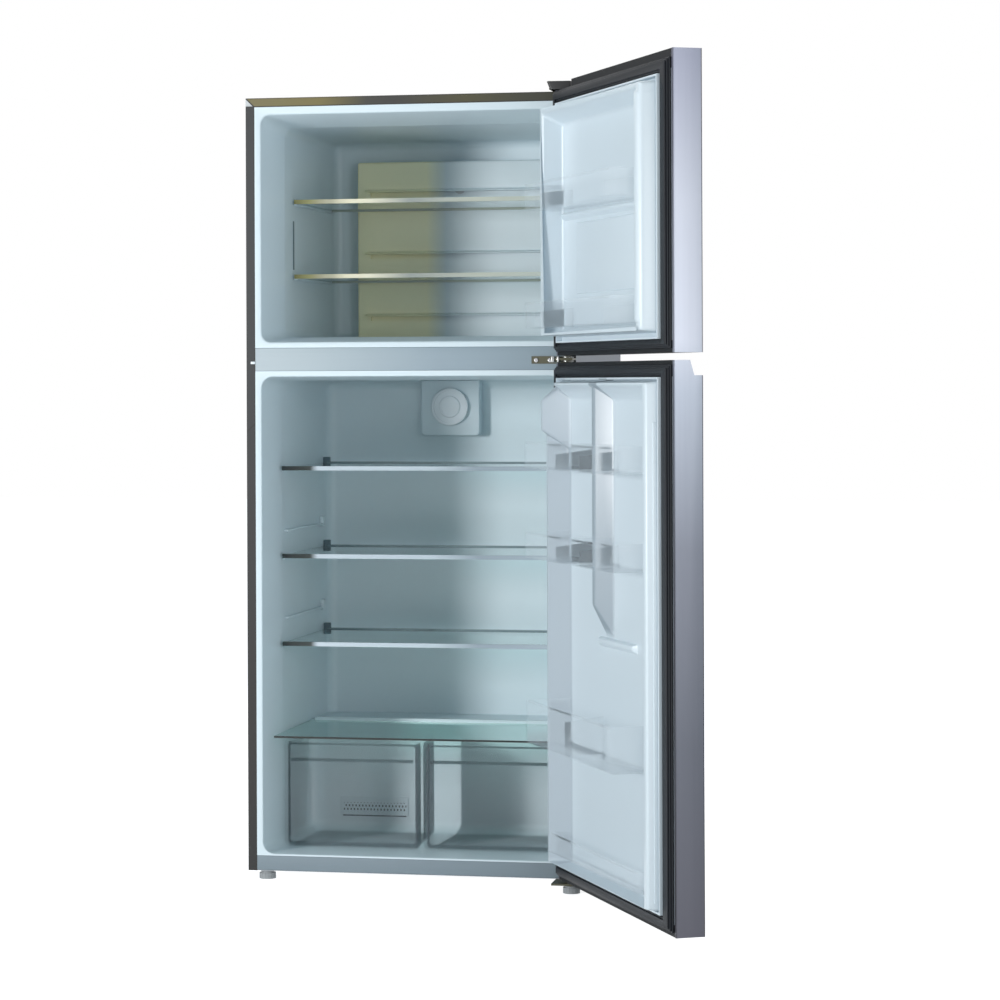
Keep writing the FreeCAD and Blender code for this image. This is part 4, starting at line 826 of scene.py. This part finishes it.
def makeBin(node, form):
    (near, far), (low, high) = form["s"], form["z"]
    front = form.get("front", binForm["front"])
    tray = doorBlock(node + "_tray", (near, far), (binForm["back"], front), (low, high))
    isBack = lambda y: y < binForm["back"] + 0.1
    if form["inward"]:
        shift(tray, lambda x, y, z: isBack(y) and x > -near - 0.1, x=-form["inward"])
    if form["taper"]:
        shift(tray, lambda x, y, z: not isBack(y) and x > -near - 0.1, x=-form["taper"])
        shift(tray, lambda x, y, z: not isBack(y) and x < -far + 0.1, x=form["taper"])
    roundEdges(tray, binForm["corner"], 4, lambda middle, run: abs(run.z) > 0.9)
    roundEdges(tray, binForm["floor"], 3, lambda middle, run: middle.z < low + 0.1)
    openTop(tray, binForm["wall"], high)
    pick(tray, "FACE", lambda f: all(v.co.y / metre < binForm["back"] + binForm["wall"] + 0.2 for v in f.verts))
    bpy.ops.mesh.delete(type="FACE")
    done()
    extras = []
    for post in form["posts"]:
        # a low cross wall inside the tray
        wall = doorBlock("cross", (post, post + 2), (binForm["back"] + 3, front - 3), (low + 2, high - 12))
        shift(wall, lambda x, y, z: y > front - 4 and z > low + 3, z=-10)
        roundEdges(wall, 0.7, 2)
        extras.append(wall)
    lip = doorBlock("lip", (near + 12, far - 12), (front - 3.6, front), (high - 5, high - 1.5))
    roundEdges(lip, 1.2, 3)
    extras.append(lip)
    tray = joinPieces(tray, extras)
    swingOpen(tray)
    settle(tray, node, finish("binClear"), [node])


for node, form in bins.items():
    makeBin(node, form)
print("bins made")


# ---- crisper drawers ----

drawerForm = {
    "near": 3, "far": 299, "front": 106, "panel": 3, "back": 336, "low": 55.3, "high": 285, "taper": 18,
    "wall": 2.4, "corner": 9,
}


def makeDrawer(node, side):
    form = drawerForm

    def span(a, b):
        return tuple(sorted((side * a, side * b)))
    panel = block(node + "_tub", span(form["near"], form["far"]), (form["front"], form["front"] + form["panel"]),
                  (form["low"], form["high"]))
    roundEdges(panel, 12, 5, lambda middle, run: abs(run.y) > 0.9)
    roundEdges(panel, 0.8, 2)
    rim = block("rim", span(form["near"] + 7, form["far"] - 7), (form["front"] - 1.6, form["front"] + 1),
                (form["low"] + 7, form["high"] - 9))
    well = block("well", span(form["near"] + 11, form["far"] - 11), (form["front"] - 5, form["front"] + 5),
                 (form["low"] + 11, form["high"] - 13))
    roundEdges(rim, 8, 4, lambda middle, run: abs(run.y) > 0.9)
    roundEdges(well, 7, 4, lambda middle, run: abs(run.y) > 0.9)
    combine(rim, well, "DIFFERENCE")
    handle = block("handle", span(form["near"] + 16, form["far"] - 16), (form["front"] - 4, form["front"] + 1),
                   (237, 244))
    shift(handle, lambda x, y, z: y < form["front"] - 3 and z > 240, z=-3)
    roundEdges(handle, 1.2, 3)
    tub = block("tub", span(form["near"] + 5, form["far"] - 5), (form["front"] + 2, form["back"]),
                (form["low"] + 1, form["high"] - 8))
    isBack = lambda y: y > form["back"] - 1
    step = form["taper"] - 5
    shift(tub, lambda x, y, z: isBack(y) and abs(x) < 50, x=side * step)
    shift(tub, lambda x, y, z: isBack(y) and abs(x) > 50, x=-side * step)
    roundEdges(tub, form["corner"], 4, lambda middle, run: abs(run.z) > 0.9)
    roundEdges(tub, 6, 3, lambda middle, run: middle.z < form["low"] + 1.2)
    pick(tub, "FACE", lambda f: f.normal.y < -0.9)
    bpy.ops.mesh.delete(type="FACE")
    done()
    openTop(tub, form["wall"], form["high"] - 8)
    drawer = joinPieces(panel, [rim, handle, tub])
    settle(drawer, node, finish("drawerClear"), [node])


makeDrawer("crisper_drawer_left", -1)
makeDrawer("crisper_drawer_right", 1)
print("drawers made")


# ---- freezer back cover ----

coverForm = {"half": 235, "front": 525, "back": 575, "low": 1138.3, "high": 1538, "soft": 5,
             "slots": (1460, 1320, 1180), "slotTall": 10}


def makeFreezerCover():
    form = coverForm
    cover = block("evaporator_cover_form", (-form["half"], form["half"]), (form["front"], form["back"]),
                  (form["low"], form["high"]))
    roundEdges(cover, form["soft"], 4, lambda middle, run: middle.y < form["back"] - 1)
    for high in form["slots"]:
        tool = block("slot", (30 - form["half"], form["half"] - 30), (form["front"] - 5, form["front"] + 8),
                     (high, high + form["slotTall"]))
        combine(cover, tool, "DIFFERENCE")
    hoods = []
    for high in form["slots"]:
        # a long hood that throws the cold air down
        hood = block("hood", (18 - form["half"], form["half"] - 18), (form["front"] - 9, form["front"] + 1),
                     (high + form["slotTall"], high + form["slotTall"] + 7))
        shift(hood, lambda x, y, z: y < form["front"] - 5 and z > high + form["slotTall"] + 5, z=-5)
        roundEdges(hood, 0.9, 3)
        hoods.append(hood)
    cover = joinPieces(cover, hoods)
    settle(cover, "cabinet", finish("cover"), ["evaporator_cover"])


makeFreezerCover()


# ---- air duct and dial ----

ductForm = {"x": (-85, 49), "y": (502, 535), "z": (921, 1046), "dial": (-18, 986), "radius": 42}


def makeDuct():
    form = ductForm
    duct = block("duct_form", form["x"], form["y"], form["z"])
    roundEdges(duct, 9, 5, lambda middle, run: abs(run.y) > 0.9 and middle.z < form["z"][0] + 5)
    roundEdges(duct, 3.5, 4, lambda middle, run: middle.y < form["y"][0] + 0.1)
    settle(duct, "cabinet", finish("panel"), ["duct_housing"])
    x, z = form["dial"]
    front = form["y"][0] - 0.4
    ring = disc("dial_form", (x, front - 4.4, z), form["radius"], 8.8, "y", 72)
    roundEdges(ring, 1.8, 4, lambda middle, run: middle.y < front - 8)
    well = disc("well", (x, front - 9, z), form["radius"] - 6, 6, "y", 72)
    combine(ring, well, "DIFFERENCE")
    knob = disc("knob", (x, front - 4.7, z), form["radius"] * 0.58, 8.2, "y", 64)
    roundEdges(knob, 2.4, 5, lambda middle, run: middle.y < front - 8)
    cup = disc("cup", (x, front - 9.3, z), form["radius"] * 0.46, 3.0, "y", 64)
    combine(knob, cup, "DIFFERENCE")
    dial = joinPieces(ring, [knob])
    settle(dial, "damper_dial", finish("dial"), ["damper_dial"])


makeDuct()
print("cover and duct made")


# ---- front strips, hinge cover, screws ----

def makeStrip(node, low, high, deep, soft, look):
    strip = block(node + "_form", (-330.8, 330.8), (0, deep), (low, high))
    roundEdges(strip, soft, 4, lambda middle, run: middle.y < 0.1 and abs(run.x) > 0.9)
    settle(strip, "cabinet", finish(look), [node])


makeStrip("mullion_cover", 1065.5, 1114.5, 10, 2.2, "strip")
makeStrip("front_base_rail", 20, 51, 12, 2.2, "rail")


def makeHingeCover():
    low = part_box("top_hinge_cover")[0] / metre
    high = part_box("top_hinge_cover")[1] / metre
    cover = block("top_hinge_cover_form", (low.x, high.x), (low.y, high.y), (low.z, high.z))
    shift(cover, lambda x, y, z: x < low.x + 1 and z < low.z + 1, x=7)  # the free end leans out
    roundEdges(cover, 5, 5, lambda middle, run: abs(run.z) > 0.8)
    roundEdges(cover, 2.2, 4, lambda middle, run: middle.z > high.z - 0.1)
    settle(cover, "cabinet", finish("hingeCover"), ["top_hinge_cover"])


screwForm = {"spots": [(268, -5.25, 1085.8), (297, -5.25, 1085.8)], "radius": 4.5}


def makeWashers():
    # the stack of washers and the stop tab round the middle pin
    x, y = 338, -33.3
    pieces = []
    for z, radius in ((1083.4, 12.5), (1091.6, 12.5), (1087.5, 10.6)):
        washer = disc("washer", (x, y, z), radius, 1.8, "z", 40)
        roundEdges(washer, 0.5, 2)
        pieces.append(washer)
    for low, high in ((306, 313), (318, 323)):
        tab = block("tab", (low, high), (-47.5, -20), (1080.9, 1093.6))
        roundEdges(tab, 1.2, 3)
        pieces.append(tab)
    stack = joinPieces(pieces[0], pieces[1:])
    stack.name = "hinge_washers"
    settle(stack, "cabinet", finish("washer"))


def makeScrews():
    heads = []
    for x, y, z in screwForm["spots"]:
        head = disc("screw", (x, y, z), screwForm["radius"], 2.5, "y", 32)
        roundEdges(head, 0.9, 3, lambda middle, run: middle.y < y - 1)
        for reachX, reachZ in ((2.8, 0.5), (0.5, 2.8)):
            slot = block("slot", (x - reachX, x + reachX), (y - 3, y - 0.4), (z - reachZ, z + reachZ))
            combine(head, slot, "DIFFERENCE")
        heads.append(head)
    heads = joinPieces(heads[0], heads[1:])
    heads.name = "bracket_screws"
    settle(heads, "cabinet", finish("screw"), ["hinge_screws"])


makeHingeCover()
makeScrews()
makeWashers()


def makeFlangePlug():
    # a small white plug on the left flange beside the mullion
    plug = block("flange_plug", (-341, -331.5), (-1.2, 0.4), (1080.5, 1086))
    roundEdges(plug, 1.1, 3, lambda middle, run: middle.y < 0.3)
    settle(plug, "cabinet", finish("dial"))


def makeVentBack():
    # a dark plate behind the return slots: painted shade for the hollow behind them
    back = block("vent_back", (-231, -88), (349.2, 349.8), (87, 117))
    roundEdges(back, 0.2, 1)
    settle(back, "cabinet", finish("dark"))


def makeWallSlot():
    # the narrow sensor slot on the freezer's left wall, drawn as a thin strip in the grey of painted shade
    slot = block("wall_slot", (-300.4, -299.2), (196, 206), (1285, 1390))
    roundEdges(slot, 0.5, 2)
    settle(slot, "cabinet", finish("groove"))


makeFlangePlug()
makeVentBack()
makeWallSlot()
print("small pieces made")


# ---- finishes on the CAD pieces ----

nodeFinishes = {
    "outer_shell": "sidePaint", "rear_panel": "zinc", "base_pan": "zinc", "cabinet_foam": "foam",
    "evaporator_coil": "fins", "evaporator_fan_motor": "motor", "evaporator_fan": "fan",
    "return_grille": "liner", "compressor": "enamel", "condenser_coil": "tube", "drip_tray": "tray",
    "refrigerant_pipes": "copper", "rear_cover": "rearPaint", "inlet_gland": "bush",
    "rear_supports": "support", "front_foot_left": "foot", "front_foot_right": "foot",
    "top_hinge": "hinge", "middle_hinge": "hinge", "lower_hinge": "hinge", "crisper_cover": "crisperGlass",
    "freezer_door_caps": "cap", "fridge_door_caps": "cap", "freezer_door_foam": "foam",
    "fridge_door_foam": "foam",
}
for shelf in ("freezer_shelf_upper", "freezer_shelf_lower", "fridge_shelf_upper", "fridge_shelf_middle",
              "fridge_shelf_lower"):
    nodeFinishes[shelf] = "shelfGlass"
    nodeFinishes[shelf + "_trim"] = "trimGoldReflection" if shelf.startswith("freezer") else "trim"
for node, look in nodeFinishes.items():
    nodes[node].data.materials.clear()
    nodes[node].data.materials.append(finishes[look])
print("CAD pieces finished")


# ---- floor, light and camera ----

def makeFloor():
    letGo()
    bpy.ops.mesh.primitive_plane_add(size=40, location=(0, 0, 0))
    floor = bpy.context.object
    floor.name = "floor"
    material = bpy.data.materials.new("floor")
    material.use_nodes = True
    shader = material.node_tree.nodes["Principled BSDF"]
    shader.inputs["Base Color"].default_value = (0.93, 0.93, 0.93, 1)
    shader.inputs["Roughness"].default_value = 0.9
    shader.inputs["Specular IOR Level"].default_value = 0
    shader.inputs["Emission Color"].default_value = (1, 1, 1, 1)
    tree = material.node_tree
    ray = tree.nodes.new("ShaderNodeLightPath")
    add = tree.nodes.new("ShaderNodeMath")
    add.operation = "MAXIMUM"
    gain = tree.nodes.new("ShaderNodeMath")
    gain.operation = "MULTIPLY"
    gain.inputs[1].default_value = lampForm["floorLift"]
    tree.links.new(ray.outputs["Is Camera Ray"], add.inputs[0])
    tree.links.new(ray.outputs["Is Glossy Ray"], add.inputs[1])
    tree.links.new(add.outputs[0], gain.inputs[0])
    tree.links.new(gain.outputs[0], shader.inputs["Emission Strength"])
    floor.data.materials.append(material)


lampForm = {
    "floorLift": 0.8, "worldLight": 0.33, "worldTone": (0.82, 0.93, 1.0),
    "lamps": [
        {"name": "key", "at": (-3.35, -4.6, 1.35), "to": (0.1, 0.2, 0.9), "size": 1.0, "power": 200},
        {"name": "fill", "at": (3.6, -4.4, 1.2), "to": (0, 0, 0.9), "size": 2.4, "power": 84},
        {"name": "top", "at": (-0.4, 1.6, 3.6), "to": (0, 0.3, 1.0), "size": 2.4, "power": 40},
    ],
}


def makeLight():
    world = bpy.data.worlds.new("studio")
    bpy.context.scene.world = world
    world.use_nodes = True
    tree = world.node_tree
    plain = tree.nodes["Background"]
    plain.inputs["Color"].default_value = (*lampForm["worldTone"], 1)
    plain.inputs["Strength"].default_value = lampForm["worldLight"]
    white = tree.nodes.new("ShaderNodeBackground")
    white.inputs["Color"].default_value = (1, 1, 1, 1)
    ray = tree.nodes.new("ShaderNodeLightPath")
    seen = tree.nodes.new("ShaderNodeMath")
    seen.operation = "MAXIMUM"
    through = tree.nodes.new("ShaderNodeMath")
    through.operation = "MAXIMUM"
    mix = tree.nodes.new("ShaderNodeMixShader")
    tree.links.new(ray.outputs["Is Camera Ray"], seen.inputs[0])
    tree.links.new(ray.outputs["Is Glossy Ray"], seen.inputs[1])
    tree.links.new(seen.outputs[0], through.inputs[0])
    tree.links.new(ray.outputs["Is Transmission Ray"], through.inputs[1])
    tree.links.new(through.outputs[0], mix.inputs["Fac"])
    tree.links.new(plain.outputs["Background"], mix.inputs[1])
    tree.links.new(white.outputs["Background"], mix.inputs[2])
    tree.links.new(mix.outputs["Shader"], tree.nodes["World Output"].inputs["Surface"])
    for lamp in lampForm["lamps"]:
        data = bpy.data.lights.new(lamp["name"], "AREA")
        data.shape = "DISK"
        data.size = lamp["size"]
        data.energy = lamp["power"]
        item = bpy.data.objects.new(lamp["name"], data)
        bpy.context.scene.collection.objects.link(item)
        item.location = lamp["at"]
        aim = Vector(lamp["to"]) - Vector(lamp["at"])
        item.rotation_euler = aim.to_track_quat("-Z", "Y").to_euler()


cameraForm = {
    "at": (1.3571, -6.1341, 1.0429), "yaw": 11.192, "pitch": 90.02, "roll": -0.22, "lens": 108.93,
    "shift": (0.0227, -0.1198),
}


def makeCamera():
    data = bpy.data.cameras.new("camera")
    data.sensor_width = 36
    data.lens = cameraForm["lens"]
    data.shift_x, data.shift_y = cameraForm["shift"]
    data.clip_start = 0.05
    data.clip_end = 200
    camera = bpy.data.objects.new("camera", data)
    bpy.context.scene.collection.objects.link(camera)
    turn = (Matrix.Rotation(math.radians(cameraForm["yaw"]), 4, "Z")
            @ Matrix.Rotation(math.radians(cameraForm["pitch"]), 4, "X")
            @ Matrix.Rotation(math.radians(cameraForm["roll"]), 4, "Z"))
    camera.matrix_world = Matrix.Translation(cameraForm["at"]) @ turn
    bpy.context.scene.camera = camera


makeFloor()
makeLight()
makeCamera()
bpy.context.scene.view_settings.view_transform = "Standard"
print("floor, light and camera made")

letGo()
